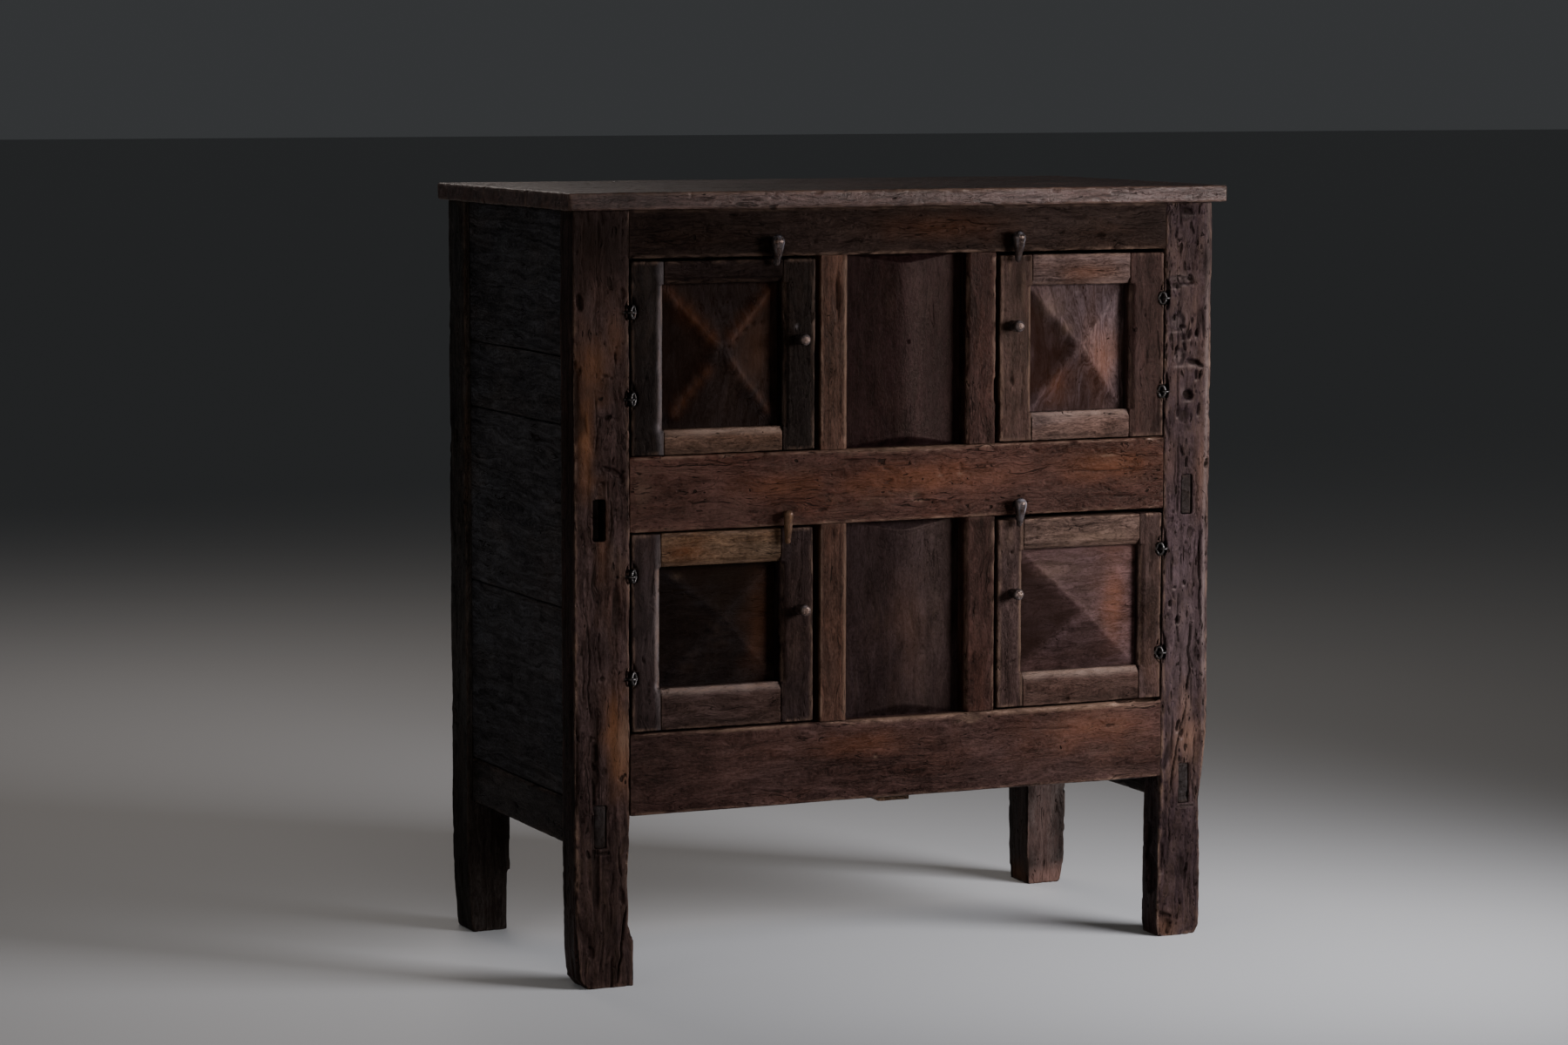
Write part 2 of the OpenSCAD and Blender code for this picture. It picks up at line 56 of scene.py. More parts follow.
def vn(p, seed):
    """Value noise, -1 to 1, at points p (N, 3)."""
    i = np.floor(p).astype(np.int64)
    f = p - i
    f = f * f * f * (f * (f * 6 - 15) + 10)
    out = np.zeros(len(p))
    for a in (0, 1):
        wa = f[:, 0] if a else 1 - f[:, 0]
        for b in (0, 1):
            wb = f[:, 1] if b else 1 - f[:, 1]
            for c in (0, 1):
                wc = f[:, 2] if c else 1 - f[:, 2]
                out += wa * wb * wc * _h(i[:, 0] + a, i[:, 1] + b, i[:, 2] + c, seed)
    return out * 2 - 1


def fbm(p, seed, octaves=3):
    out, amp, tot = 0, 1.0, 0
    for o in range(octaves):
        out = out + amp * vn(p * 2 ** o, seed + 17 * o)
        tot += amp
        amp *= 0.5
    return out / tot


def scatter(u, v, cu, cv, ru, rv, seed, chance=1.0, tilt=0.25):
    """Ellipses strewn over a jittered grid of cu by cv: distance from the nearest one's middle, 1 at its
    outline, and its own random number."""
    iu, iv = np.floor(u / cu).astype(np.int64), np.floor(v / cv).astype(np.int64)
    best, rnd = np.full(len(u), 9.0), np.zeros(len(u))
    z = np.zeros_like(iu)
    for a in (-1, 0, 1):
        for b in (-1, 0, 1):
            gu, gv = iu + a, iv + b
            du = u - (gu + 0.15 + 0.7 * _h(gu, gv, z, seed)) * cu
            dv = v - (gv + 0.15 + 0.7 * _h(gu, gv, z, seed + 1)) * cv
            r = _h(gu, gv, z, seed + 2)
            size = 0.5 + 0.8 * r * r
            an = (_h(gu, gv, z, seed + 4) - 0.5) * 2 * tilt
            ca, sa = np.cos(an), np.sin(an)
            d = np.hypot((du * ca - dv * sa) / (ru * size), (du * sa + dv * ca) / (rv * size))
            d = np.where(_h(gu, gv, z, seed + 3) < chance, d, 9.0)
            m = d < best
            best = np.where(m, d, best)
            rnd = np.where(m, r, rnd)
    return best, rnd


def sstep(a, b, x):
    t = np.clip((x - a) / (b - a), 0, 1)
    return t * t * (3 - 2 * t)


# ------------------------------------------------------------------ meshes
def arrays(me):
    co = np.empty(len(me.vertices) * 3)
    me.vertices.foreach_get("co", co)
    no = np.empty(len(me.vertices) * 3, np.float32)
    me.vertex_normals.foreach_get("vector", no)
    return co.reshape(-1, 3), no.reshape(-1, 3).astype(float)


def set_co(me, co):
    me.vertices.foreach_set("co", np.ascontiguousarray(co, np.float32).ravel())
    me.update()


def attr(me, name, values):
    a = me.attributes.get(name) or me.attributes.new(name, "FLOAT", "POINT")
    a.data.foreach_set("value", np.clip(values, 0, 1).astype(np.float32))


def solids_of(node):
    """The closed solids of a CAD node, each as its own welded mesh."""
    bm = bmesh.new()
    bm.from_mesh(NODES[node].data)
    bmesh.ops.remove_doubles(bm, verts=bm.verts, dist=2e-6)
    bm.verts.ensure_lookup_table()
    seen, groups = set(), []
    for v in bm.verts:
        if v.index in seen:
            continue
        stack, g = [v], []
        seen.add(v.index)
        while stack:
            w = stack.pop()
            g.append(w.index)
            for e in w.link_edges:
                o = e.other_vert(w)
                if o.index not in seen:
                    seen.add(o.index)
                    stack.append(o)
        groups.append(set(g))
    out = []
    for g in groups:
        idx = {}
        vs = []
        for i in sorted(g):
            idx[i] = len(vs)
            vs.append(tuple(bm.verts[i].co))
        fs = [[idx[v.index] for v in f.verts] for f in bm.faces if f.verts[0].index in g]
        me = bpy.data.meshes.new(node)
        me.from_pydata(vs, [], fs)
        me.update()
        out.append(me)
    bm.free()
    out.sort(key=lambda m: tuple(round(float(x), 4) for x in np.array([v.co for v in m.vertices]).mean(0)))
    return out


def remesh(me, size, smooth=True):
    ob = bpy.data.objects.new("tmp", me)
    col.objects.link(ob)
    m = ob.modifiers.new("r", "REMESH")
    m.mode = "VOXEL"
    m.voxel_size = size
    m.use_smooth_shade = smooth
    dg = bpy.context.evaluated_depsgraph_get()
    new = bpy.data.meshes.new_from_object(ob.evaluated_get(dg))
    bpy.data.objects.remove(ob)
    return new


class Wear:
    """What shapes one member: its worn outline, edges, dents and pits, all from positions in millimetres."""

    def __init__(self, grain, seed, r=1.6, chip=3.0, bow=0.5, ripple=0.22, pits=0.0, deep=1.0, tool=0.12, nick=1.0,
                 edge=0.0, split=0.0, x0=None, x1=None, y0=None, y1=None, z0=None, z1=None, feats=(), shape=None, soft=1.0, big=(), tint=None, tight=()):
        self.__dict__.update(locals())


def wear(me, w):
    """Wears one solid's mesh. Returns nothing: the mesh is changed, with point attributes for worn arrises, for dark
    marks with painted shade and shadows, for warm places, and for pale places, some of them painted highlights.
    """
    co, no = arrays(me)
    p = co * 1000.0
    p[:, 1] -= YS * 1000.0                      # y = 0 is the frame's front face
    n = len(p)
    lo, hi = p.min(0), p.max(0)
    S = w.seed
    g = w.grain
    # faces of the member: constants, or functions of the place along it
    def face(f, default):
        return np.full(n, default) if f is None else (f(p) if callable(f) else np.full(n, float(f)))
    A = np.stack([face(w.x0, lo[0]), face(w.y0, lo[1]), face(w.z0, lo[2])], 1)
    B = np.stack([face(w.x1, hi[0]), face(w.y1, hi[1]), face(w.z1, hi[2])], 1)
    dlo, dhi = p - A, B - p
    near_lo = dlo < dhi
    d = np.where(near_lo, dlo, dhi)
    # radius of the worn arrises, larger where they are chipped
    q = p / np.array([1.0, 1.0, 1.0])
    st = np.ones(3) / 14.0
    st[g] = 1 / 55.0
    c1 = fbm(q * st + 3.1, S + 1, 3)
    c2 = fbm(q * st * 3.1 + 9.7, S + 2, 2)
    rad = w.r * (1 + 0.45 * c2) + w.chip * sstep(0.22, 0.62, c1) * (0.7 + 0.5 * c2)
    st2 = np.ones(3) / 4.5
    st2[g] = 1 / 11.0
    c3 = vn(q * st2 + 4.2, S + 9)
    rad = rad + w.nick * 1.8 * sstep(0.25, 0.8, c3)
    wide = np.zeros(n)
    for axis, side, r_, g0, g1 in w.big:         # axis and side of the face, radius, stretch along the grain
        gate = (near_lo[:, axis] == (side == 0)) & near_lo[:, 1]
        along = sstep(g0 - 1, g0 + 5, p[:, g]) * (1 - sstep(g1 - 5, g1 + 1, p[:, g]))
        wide = np.maximum(wide, r_ * gate * along * (1 - sstep(r_ + 3, r_ + 8, d[:, axis])))
    rad = np.maximum(rad, wide * (1 + 0.25 * c2 + 0.15 * c3))
    rad = np.clip(rad, 0.5, 14)
    shut = np.zeros(n, bool)
    for axis, side, a, c0, c1 in w.tight:        # axis and side of a face that butts a neighbour, over a stretch of axis a
        shut |= (near_lo[:, axis] == (side == 0)) & (d[:, axis] < 7) & (p[:, a] > c0) & (p[:, a] < c1)
    rad = np.where(shut, 0.3, rad)
    k = np.maximum(rad[:, None] - np.maximum(d, 0), 0)
    inside = (d > -0.6).all(1)
    L = np.sqrt((k ** 2).sum(1))
    over = (L > rad) & inside
    sc = np.where(over, rad / np.maximum(L, 1e-9), 1.0)
    newd = rad[:, None] - k * sc[:, None]
    newd = np.where(k > 0, newd, d)
    moved = np.where(over[:, None], newd - d, 0.0)
    p = p + np.where(near_lo, moved, -moved)
    ds = np.sort(np.maximum(d, 0), 1)
    edge = ds[:, 1]                              # distance to the nearest arris, on the surface
    lost = np.linalg.norm(moved, axis=1)
    # dents and hollows, inwards along the normal
    ax = np.argmax(np.abs(no), 1)
    ci = np.array([min({0, 1, 2} - {a, g}) for a in range(3)])
    cc = ci[ax]
    u = p[np.arange(n), cc]
    v = np.where(ax == g, p[:, max({0, 1, 2} - {g})], p[:, g])
    inward = np.zeros(n)
    dark = np.zeros(n)
    inward += w.bow * 0.55 * (fbm(p / 170.0 + 1.3, S + 3, 2)) * w.soft
    s2 = np.ones(3) / 26.0
    s2[g] = 1 / 75.0
    inward += w.bow * 0.45 * fbm(p * s2 + 5.5, S + 4, 2)
    s3 = np.ones(3) / 5.2
    s3[g] = 1 / 110.0
    rip = vn(p * s3 + 0.7, S + 5)
    inward += w.ripple * rip * (ax != g)
    inward += w.tool * vn(p / 9.0, S + 6)
    across = (ax != g) & (ax != 1)
    if w.edge:
        s4 = np.ones(3) / 60.0
        s4[g] = 1 / 42.0
        inward += w.edge * (0.7 * fbm(p * s4 + 2.2 + 3.0 * near_lo[np.arange(n), ax][:, None], S + 7, 2) + 0.5 * vn(p / 13.0, S + 8)) * across
    if w.pits > 0:
        rag = 1 + 0.35 * vn(p / 3.1, S + 36)
        for (cu, cv, ru, rv, dd, ch, sd) in ((7.0, 15.0, 1.0, 2.6, 1.3, 0.45, 31), (15.0, 40.0, 1.5, 7.5, 2.4, 0.5, 47), (34.0, 95.0, 3.0, 10.0, 3.2, 0.4, 61)):
            gt = fbm(p / 48.0 + 7.7, S + sd, 2) * 0.5 + 0.5
            gate = sstep(0.64 - 0.42 * w.pits, 0.76 - 0.42 * w.pits, gt)
            e, rnd = scatter(u + 37.7 * ax, v, cu, cv, ru, rv, S + sd, ch)
            hole = (1 - sstep(0.35, 1.05, e * rag)) * gate
            inward += hole * w.deep * dd * (0.5 + 0.7 * rnd)
            dark = np.maximum(dark, hole * (0.5 + 0.4 * rnd))
    if w.split > 0:
        sp = vn(np.stack([u / 15.0 + 5.1 * ax, v / 170.0, 0 * u], 1), S + 83)
        gt = sstep(0.62 - 0.3 * w.split, 0.72 - 0.3 * w.split, fbm(np.stack([u / 40.0, v / 90.0, ax * 3.3], 1), S + 85, 2) * 0.5 + 0.5)
        ln = (1 - sstep(0.5, 1.5, np.abs(sp) * 7.5)) * gt * (ax != g)
        inward += 1.8 * ln
        dark = np.maximum(dark, 0.75 * ln)
    warm = np.zeros(n)
    pale = np.zeros(n)
    for ft in w.feats:
        kind = ft[0]
        if kind == "dent":                       # face, centre, radii, depth, angle
            _, fc, (cu0, cv0), (ru, rv), dep, ang, drk = ft
            m, a1, a2 = on_face(fc, no, p)
            ca, sa = math.cos(math.radians(ang)), math.sin(math.radians(ang))
            du, dv = a1 - cu0, a2 - cv0
            wob = 1 + 0.25 * vn(p / 6.0, S + 71)
            e = ((du * ca + dv * sa) / ru) ** 2 + ((-du * sa + dv * ca) / rv) ** 2
            e = e * wob
            t = (1 - sstep(0.25, 1.0, e)) * m
            inward += dep * t
            dark = np.maximum(dark, drk * (1 - sstep(0.1, 0.75, e)) * m)
        elif kind == "slot":                     # face, box with square walls, depth
            _, fc, (u0, u1, v0, v1), dep, drk = ft
            m, a1, a2 = on_face(fc, no, p)
            jit = 0.6 * vn(p / 7.0, S + 73)
            t = sstep(-0.9, 0.9, np.minimum(np.minimum(a1 - u0, u1 - a1), np.minimum(a2 - v0, v1 - a2)) + jit) * m
            inward += dep * t
            dark = np.maximum(dark, drk * t)
        elif kind == "crack":                    # face, points, width, depth
            _, fc, pts, wd, dep, drk = ft
            m, a1, a2 = on_face(fc, no, p)
            best = np.full(n, 1e9)
            tt = np.zeros(n)
            jx = 1.2 * vn(np.stack([p[:, g] / 14.0, p[:, g] * 0, p[:, g] * 0], 1), S + 75)
            total = len(pts) - 1
            for i in range(total):
                (xa, ya), (xb, yb) = pts[i], pts[i + 1]
                vx, vy = xb - xa, yb - ya
                q0 = np.clip(((a1 + jx - xa) * vx + (a2 - ya) * vy) / (vx * vx + vy * vy), 0, 1)
                dd2 = np.hypot(a1 + jx - xa - q0 * vx, a2 - ya - q0 * vy)
                mm = dd2 < best
                best = np.where(mm, dd2, best)
                tt = np.where(mm, (i + q0) / total, tt)
            taper = np.clip(np.minimum(tt, 1 - tt) * 8, 0.25, 1)
            t = (1 - sstep(wd * 0.3, wd * 1.1, best / taper)) * m
            inward += dep * t * taper
            dark = np.maximum(dark, drk * t)
        # the marks listed as pale include painted highlights, and those listed as dark include painted shade and
        # painted shadows
        elif kind == "warm" or kind == "pale" or kind == "dark":
            _, fc, (cu0, cv0), (ru, rv), amt = ft
            m, a1, a2 = on_face(fc, no, p)
            e = ((a1 - cu0) / ru) ** 2 + ((a2 - cv0) / rv) ** 2
            t = np.exp(-e * (1 + 0.5 * vn(p / 22.0, S + 77))) * m * amt
            if kind == "warm":
                warm = np.maximum(warm, t)
            elif kind == "pale":
                pale = np.maximum(pale, t)
            else:
                dark = np.maximum(dark, t)
    # tint: painted shade on the slopes of a raised panel, a given amount on each slope
    if w.tint is not None:
        dark = np.maximum(dark, w.tint(p) * sstep(0.2, 0.6, -no[:, 1]))
    p = p - no * inward[:, None]
    if w.shape is not None:
        p = w.shape(p, no)
    near = 1 - sstep(1.0, 6.5 + wide, edge)
    wr = near * (0.55 + 0.45 * c2) * (1 - 0.6 * sstep(2.5, 6, lost))
    wr = np.clip(wr * np.where(shut, 0.15, 1.0) + 0.25 * np.clip(-inward, 0, 1), 0, 1)
    p[:, 1] += YS * 1000.0
    set_co(me, p / 1000.0)
    attr(me, "wear", wr * (1 - dark))
    attr(me, "grime", dark)
    attr(me, "warm", warm)
    attr(me, "pale", pale)


def on_face(fc, no, p):
    """Weight of a face (front, back, left, right, top, under), with its two coordinates in millimetres."""
    if fc == "front":
        return sstep(0.25, 0.7, -no[:, 1]), p[:, 0], p[:, 2]
    if fc == "back":
        return sstep(0.25, 0.7, no[:, 1]), p[:, 0], p[:, 2]
    if fc == "left":
        return sstep(0.25, 0.7, -no[:, 0]), p[:, 1], p[:, 2]
    if fc == "right":
        return sstep(0.25, 0.7, no[:, 0]), p[:, 1], p[:, 2]
    if fc == "top":
        return sstep(0.25, 0.7, no[:, 2]), p[:, 0], p[:, 1]
    return sstep(0.25, 0.7, -no[:, 2]), p[:, 0], p[:, 1]


def join(meshes, name):
    """One mesh of several, with their point attributes."""
    co, vi, ls, lt, at = [], [], [], [], {}
    nv = nl = 0
    for me in meshes:
        c = np.empty(len(me.vertices) * 3, np.float32)
        me.vertices.foreach_get("co", c)
        v = np.empty(len(me.loops), np.int32)
        me.loops.foreach_get("vertex_index", v)
        a = np.empty(len(me.polygons), np.int32)
        me.polygons.foreach_get("loop_start", a)
        t = np.empty(len(me.polygons), np.int32)
        me.polygons.foreach_get("loop_total", t)
        co.append(c)
        vi.append(v + nv)
        ls.append(a + nl)
        lt.append(t)
        for k in ("wear", "grime", "warm", "pale", "piece"):
            x = np.zeros(len(me.vertices), np.float32)
            if k in me.attributes:
                me.attributes[k].data.foreach_get("value", x)
            at.setdefault(k, []).append(x)
        nv += len(me.vertices)
        nl += len(me.loops)
    out = bpy.data.meshes.new(name)
    out.vertices.add(nv)
    out.vertices.foreach_set("co", np.concatenate(co))
    out.loops.add(nl)
    out.loops.foreach_set("vertex_index", np.concatenate(vi))
    n = sum(len(x) for x in ls)
    out.polygons.add(n)
    out.polygons.foreach_set("loop_start", np.concatenate(ls))
    out.update(calc_edges=True)
    for k, x in at.items():
        attr(out, k, np.concatenate(x))
    return out


def member(node, size, wears, mat, slot=None, pre=None):
    """A wooden member that stands for its CAD node: the node's own solids, remeshed finely and worn."""
    parts = []
    solids = solids_of(node)
    ws = wears if isinstance(wears, (list, tuple)) else [wears] * len(solids)
    for i, (me, w) in enumerate(zip(solids, ws)):
        if pre:
            pre(me, i)
        r = remesh(me, size)
        if isinstance(wears, Wear) and len(solids) > 1:
            w = Wear(**{**{k: v for k, v in w.__dict__.items() if k != "self"}, "seed": w.seed + 101 * i})
        wear(r, w)
        attr(r, "piece", np.full(len(r.vertices), (0.37 * i + 0.11) % 1.0))
        parts.append(r)
    me = parts[0] if len(parts) == 1 else join(parts, node)
    me.polygons.foreach_set("use_smooth", np.ones(len(me.polygons), bool))
    ob = bpy.data.objects.new(node + "_worn", me)
    col.objects.link(ob)
    me.materials.clear()
    me.materials.append(mat)
    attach(ob, BODY[node])
    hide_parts(node)
    return ob


# ------------------------------------------------------------------ materials
class G:
    def __init__(self, name):
        self.m = bpy.data.materials.new(name)
        self.m.use_nodes = True
        self.t = self.m.node_tree
        self.t.nodes.clear()
        out = self.t.nodes.new("ShaderNodeOutputMaterial")
        self.b = self.t.nodes.new("ShaderNodeBsdfPrincipled")
        self.t.links.new(self.b.outputs[0], out.inputs[0])

    def put(self, sock, v):
        if isinstance(v, bpy.types.NodeSocket):
            self.t.links.new(v, sock)
        elif v is not None:
            sock.default_value = v

    def node(self, kind, **kw):
        n = self.t.nodes.new(kind)
        for k, v in kw.items():
            setattr(n, k, v)
        return n

    def math(self, op, a, b=None, c=None, clamp=False):
        n = self.node("ShaderNodeMath", operation=op, use_clamp=clamp)
        for i, v in enumerate((a, b, c)):
            if v is not None:
                self.put(n.inputs[i], v)
        return n.outputs[0]

    def vec(self, op, a, b=None):
        n = self.node("ShaderNodeVectorMath", operation=op)
        self.put(n.inputs[0], a)
        if b is not None:
            self.put(n.inputs[1], b)
        return n.outputs[0]

    def noise(self, v, scale=1.0, detail=2.0, rough=0.5, dist=0.0):
        n = self.node("ShaderNodeTexNoise")
        self.put(n.inputs["Vector"], v)
        n.inputs["Scale"].default_value = scale
        n.inputs["Detail"].default_value = detail
        n.inputs["Roughness"].default_value = rough
        n.inputs["Distortion"].default_value = dist
        return n.outputs[0]

    def voronoi(self, v, scale=1.0, rnd=1.0):
        n = self.node("ShaderNodeTexVoronoi", feature="F1")
        self.put(n.inputs["Vector"], v)
        n.inputs["Scale"].default_value = scale
        n.inputs["Randomness"].default_value = rnd
        return n.outputs["Distance"], n.outputs["Color"]

    def remap(self, v, a, b, c=0.0, d=1.0, smooth=True):
        n = self.node("ShaderNodeMapRange", interpolation_type="SMOOTHSTEP" if smooth else "LINEAR")
        self.put(n.inputs[0], v)
        for i, x in enumerate((a, b, c, d)):
            n.inputs[i + 1].default_value = x
        return n.outputs[0]

    def mix(self, f, a, b, mode="MIX"):
        n = self.node("ShaderNodeMix", data_type="RGBA", blend_type=mode)
        self.put(n.inputs[0], f)
        self.put(n.inputs[6], a)
        self.put(n.inputs[7], b)
        return n.outputs[2]

    def ramp(self, f, stops):
        n = self.node("ShaderNodeValToRGB")
        cr = n.color_ramp
        while len(cr.elements) > 1:
            cr.elements.remove(cr.elements[0])
        cr.elements[0].position, cr.elements[0].color = stops[0][0], (*stops[0][1], 1)
        for pos, c in stops[1:]:
            e = cr.elements.new(pos)
            e.color = (*c, 1)
        self.put(n.inputs[0], f)
        return n.outputs[0]

    def attribute(self, name):
        return self.node("ShaderNodeAttribute", attribute_name=name, attribute_type="GEOMETRY").outputs["Fac"]

    def bump(self, h, strength, dist, normal=None):
        n = self.node("ShaderNodeBump")
        n.inputs["Strength"].default_value = strength
        n.inputs["Distance"].default_value = dist
        self.put(n.inputs["Height"], h)
        if normal is not None:
            self.put(n.inputs["Normal"], normal)
        return n.outputs[0]


def rgb(c, k=1.0):
    return (c[0] * k, c[1] * k, c[2] * k, 1.0)


def wood(name, grain, dark, mid, light, seed=0, ring=0.2, fibre=0.8, patch=0.9, streak=0.42, worm=0.3, check=0.5, rough=0.4,
         warm=(0.075, 0.024, 0.008), pale=(0.075, 0.048, 0.032), wearc=(0.085, 0.052, 0.036), wearamt=0.7, pith=(0.14, 0.09), spacing=0.006,
         bump=1.0, spec=0.030, tint=(0.95, 0.60, 0.44), gouge=0.0, hue=0.4, huec=(0.84, 0.98, 1.08), grimec=(0.0030, 0.0020, 0.0016)):
    g = G(name)
    tc = g.node("ShaderNodeTexCoord").outputs["Object"]
    piece = g.attribute("piece")
    off = g.vec("ADD", tc, (0.173 * seed % 1.7, 0.319 * seed % 1.3, 0.457 * seed % 1.9))
    sh = g.node("ShaderNodeCombineXYZ")
    g.put(sh.inputs[0], g.math("MULTIPLY", piece, 1.37))
    g.put(sh.inputs[1], g.math("MULTIPLY", piece, 2.71))
    g.put(sh.inputs[2], g.math("MULTIPLY", piece, 0.93))
    P = g.vec("ADD", off, sh.outputs[0])
    # the fibres wander a little
    slow = g.node("ShaderNodeTexNoise")
    g.put(slow.inputs["Vector"], g.vec("MULTIPLY", P, tuple(2.2 if i == grain else 9.0 for i in range(3))))
    slow.inputs["Detail"].default_value = 2.0
    wv = g.vec("SUBTRACT", slow.outputs["Color"], (0.5, 0.5, 0.5))
    P = g.vec("ADD", P, g.vec("MULTIPLY", wv, tuple(0.0 if i == grain else 0.030 for i in range(3))))

    def st(a, l):
        v = [a, a, a]
        v[grain] = l
        return g.vec("MULTIPLY", P, tuple(v))
    w1 = g.noise(st(7.0, 2.0), 1.0, 2.0, 0.5)
    w2 = g.noise(st(34.0, 7.0), 1.0, 2.0, 0.5)
    sep = g.node("ShaderNodeSeparateXYZ")
    g.put(sep.inputs[0], P)
    oo = (0.173 * seed % 1.7, 0.319 * seed % 1.3, 0.457 * seed % 1.9)
    ia, ib = [i for i in range(3) if i != grain]
    a0, b0 = pith
    da = g.math("SUBTRACT", sep.outputs[ia], a0 + oo[ia])
    db = g.math("SUBTRACT", sep.outputs[ib], b0 + oo[ib])
    rr = g.math("SQRT", g.math("ADD", g.math("MULTIPLY", da, da), g.math("MULTIPLY", db, db)))
    rr = g.math("ADD", rr, g.math("MULTIPLY", w1, 0.05))
    rr = g.math("ADD", rr, g.math("MULTIPLY", w2, 0.012))
    # rings of uneven width
    rn = g.node("ShaderNodeTexNoise", noise_dimensions="1D")
    g.put(rn.inputs["W"], g.math("MULTIPLY", rr, 1.0 / spacing))
    rn.inputs["Scale"].default_value = 1.0
    rn.inputs["Detail"].default_value = 2.0
    ringv = g.remap(rn.outputs[0], 0.3, 0.7)
    fib = g.noise(st(430.0, 12.0), 1.0, 4.0, 0.62)
    fine = g.noise(st(1250.0, 70.0), 1.0, 2.0, 0.5)
    strk = g.noise(st(120.0, 4.0), 1.0, 3.0, 0.6)
    pat = g.noise(st(10.0, 4.5), 1.0, 3.0, 0.55)
    mot = g.noise(st(75.0, 24.0), 1.0, 4.0, 0.62)
    val = g.math("MULTIPLY_ADD", g.math("SUBTRACT", ringv, 0.5), ring, 0.48)
    val = g.math("MULTIPLY_ADD", g.math("SUBTRACT", fib, 0.5), fibre, val)
    val = g.math("MULTIPLY_ADD", g.math("SUBTRACT", strk, 0.5), streak, val)
    val = g.math("MULTIPLY_ADD", g.math("SUBTRACT", pat, 0.5), patch, val)
    val = g.math("MULTIPLY_ADD", g.math("SUBTRACT", mot, 0.5), 0.85, val)
    gran = g.noise(st(420.0, 190.0), 1.0, 3.0, 0.6)
    val = g.math("MULTIPLY_ADD", g.math("SUBTRACT", gran, 0.5), 0.9, val, clamp=True)
    c = g.ramp(val, [(0.15, dark), (0.5, mid), (0.86, light)])
    # the colour drifts between orange, red and grey brown
    h1 = g.remap(g.noise(st(12.0, 6.0), 1.0, 3.0, 0.55), 0.40, 0.64)
    c = g.mix(g.math("MULTIPLY", h1, hue), c, rgb(huec), "MULTIPLY")
    h2 = g.remap(g.noise(g.vec("ADD", st(16.0, 5.0), (7.1, 3.3, 5.7)), 1.0, 3.0, 0.55), 0.50, 0.70)
    c = g.mix(g.math("MULTIPLY", h2, hue), c, rgb((1.45, 1.10, 0.80)), "MULTIPLY")
    c = g.mix(g.math("MULTIPLY", g.attribute("warm"), g.remap(mot, 0.2, 0.7, 0.5, 1.0)), c, rgb(warm))
    c = g.mix(g.math("MULTIPLY", g.attribute("pale"), g.remap(mot, 0.2, 0.7, 0.4, 1.0)), c, rgb(pale))
    # pores: short dark dashes along the grain
    pore = g.remap(fine, 0.585, 0.66)
    c = g.mix(g.math("MULTIPLY", pore, 0.5), c, rgb(dark, 0.7))
    # rubbed arrises, paler: worn paler, and partly a painted highlight along the edges
    wn = g.remap(g.noise(st(130.0, 40.0), 1.0, 3.0, 0.6), 0.34, 0.60, 0.0, 1.0)
    wr = g.math("MULTIPLY", g.math("MULTIPLY", g.attribute("wear"), wn), wearamt, clamp=True)
    c = g.mix(wr, c, rgb(wearc))
    # seasoning checks
    ck = g.noise(st(95.0, 3.4), 1.0, 2.0, 0.5)
    line = g.math("SUBTRACT", 1.0, g.remap(g.math("ABSOLUTE", g.math("SUBTRACT", ck, 0.5)), 0.004, 0.013))
    gate = g.remap(g.noise(st(18.0, 8.0), 1.0, 2.0, 0.5), 0.60 - 0.12 * check, 0.65 - 0.10 * check)
    line = g.math("MULTIPLY", line, gate)
    # short dark nicks along the grain, and round flight holes of worm
    sepc = g.node("ShaderNodeSeparateColor")
    d, vc = g.voronoi(st(150.0, 52.0), 1.0, 1.0)
    g.put(sepc.inputs[0], vc)
    nk = g.math("SUBTRACT", 1.0, g.remap(g.math("ADD", d, g.math("MULTIPLY", g.math("SUBTRACT", gran, 0.5), 0.25)), 0.12, 0.20))
    ng = g.remap(g.noise(st(22.0, 12.0), 1.0, 2.0, 0.5), 0.66 - 0.26 * worm, 0.76 - 0.26 * worm)
    nk = g.math("MULTIPLY", nk, g.math("LESS_THAN", sepc.outputs[0], g.math("MULTIPLY", ng, 0.30 + 0.25 * worm)))
    d2, vc2 = g.voronoi(st(120.0, 85.0), 1.0, 1.0)
    sepd = g.node("ShaderNodeSeparateColor")
    g.put(sepd.inputs[0], vc2)
    hole = g.math("SUBTRACT", 1.0, g.remap(d2, 0.075, 0.12))
    wg = g.remap(g.noise(st(16.0, 11.0), 1.0, 2.0, 0.5), 0.64 - 0.24 * worm, 0.74 - 0.24 * worm)
    hole = g.math("MULTIPLY", hole, g.math("LESS_THAN", sepd.outputs[0], g.math("MULTIPLY", wg, 0.12 + 0.42 * worm)))
    deepm = g.math("MAXIMUM", g.math("MULTIPLY", line, 0.85), g.math("MAXIMUM", hole, g.math("MULTIPLY", nk, 0.95)))
    gg = None
    if gouge:
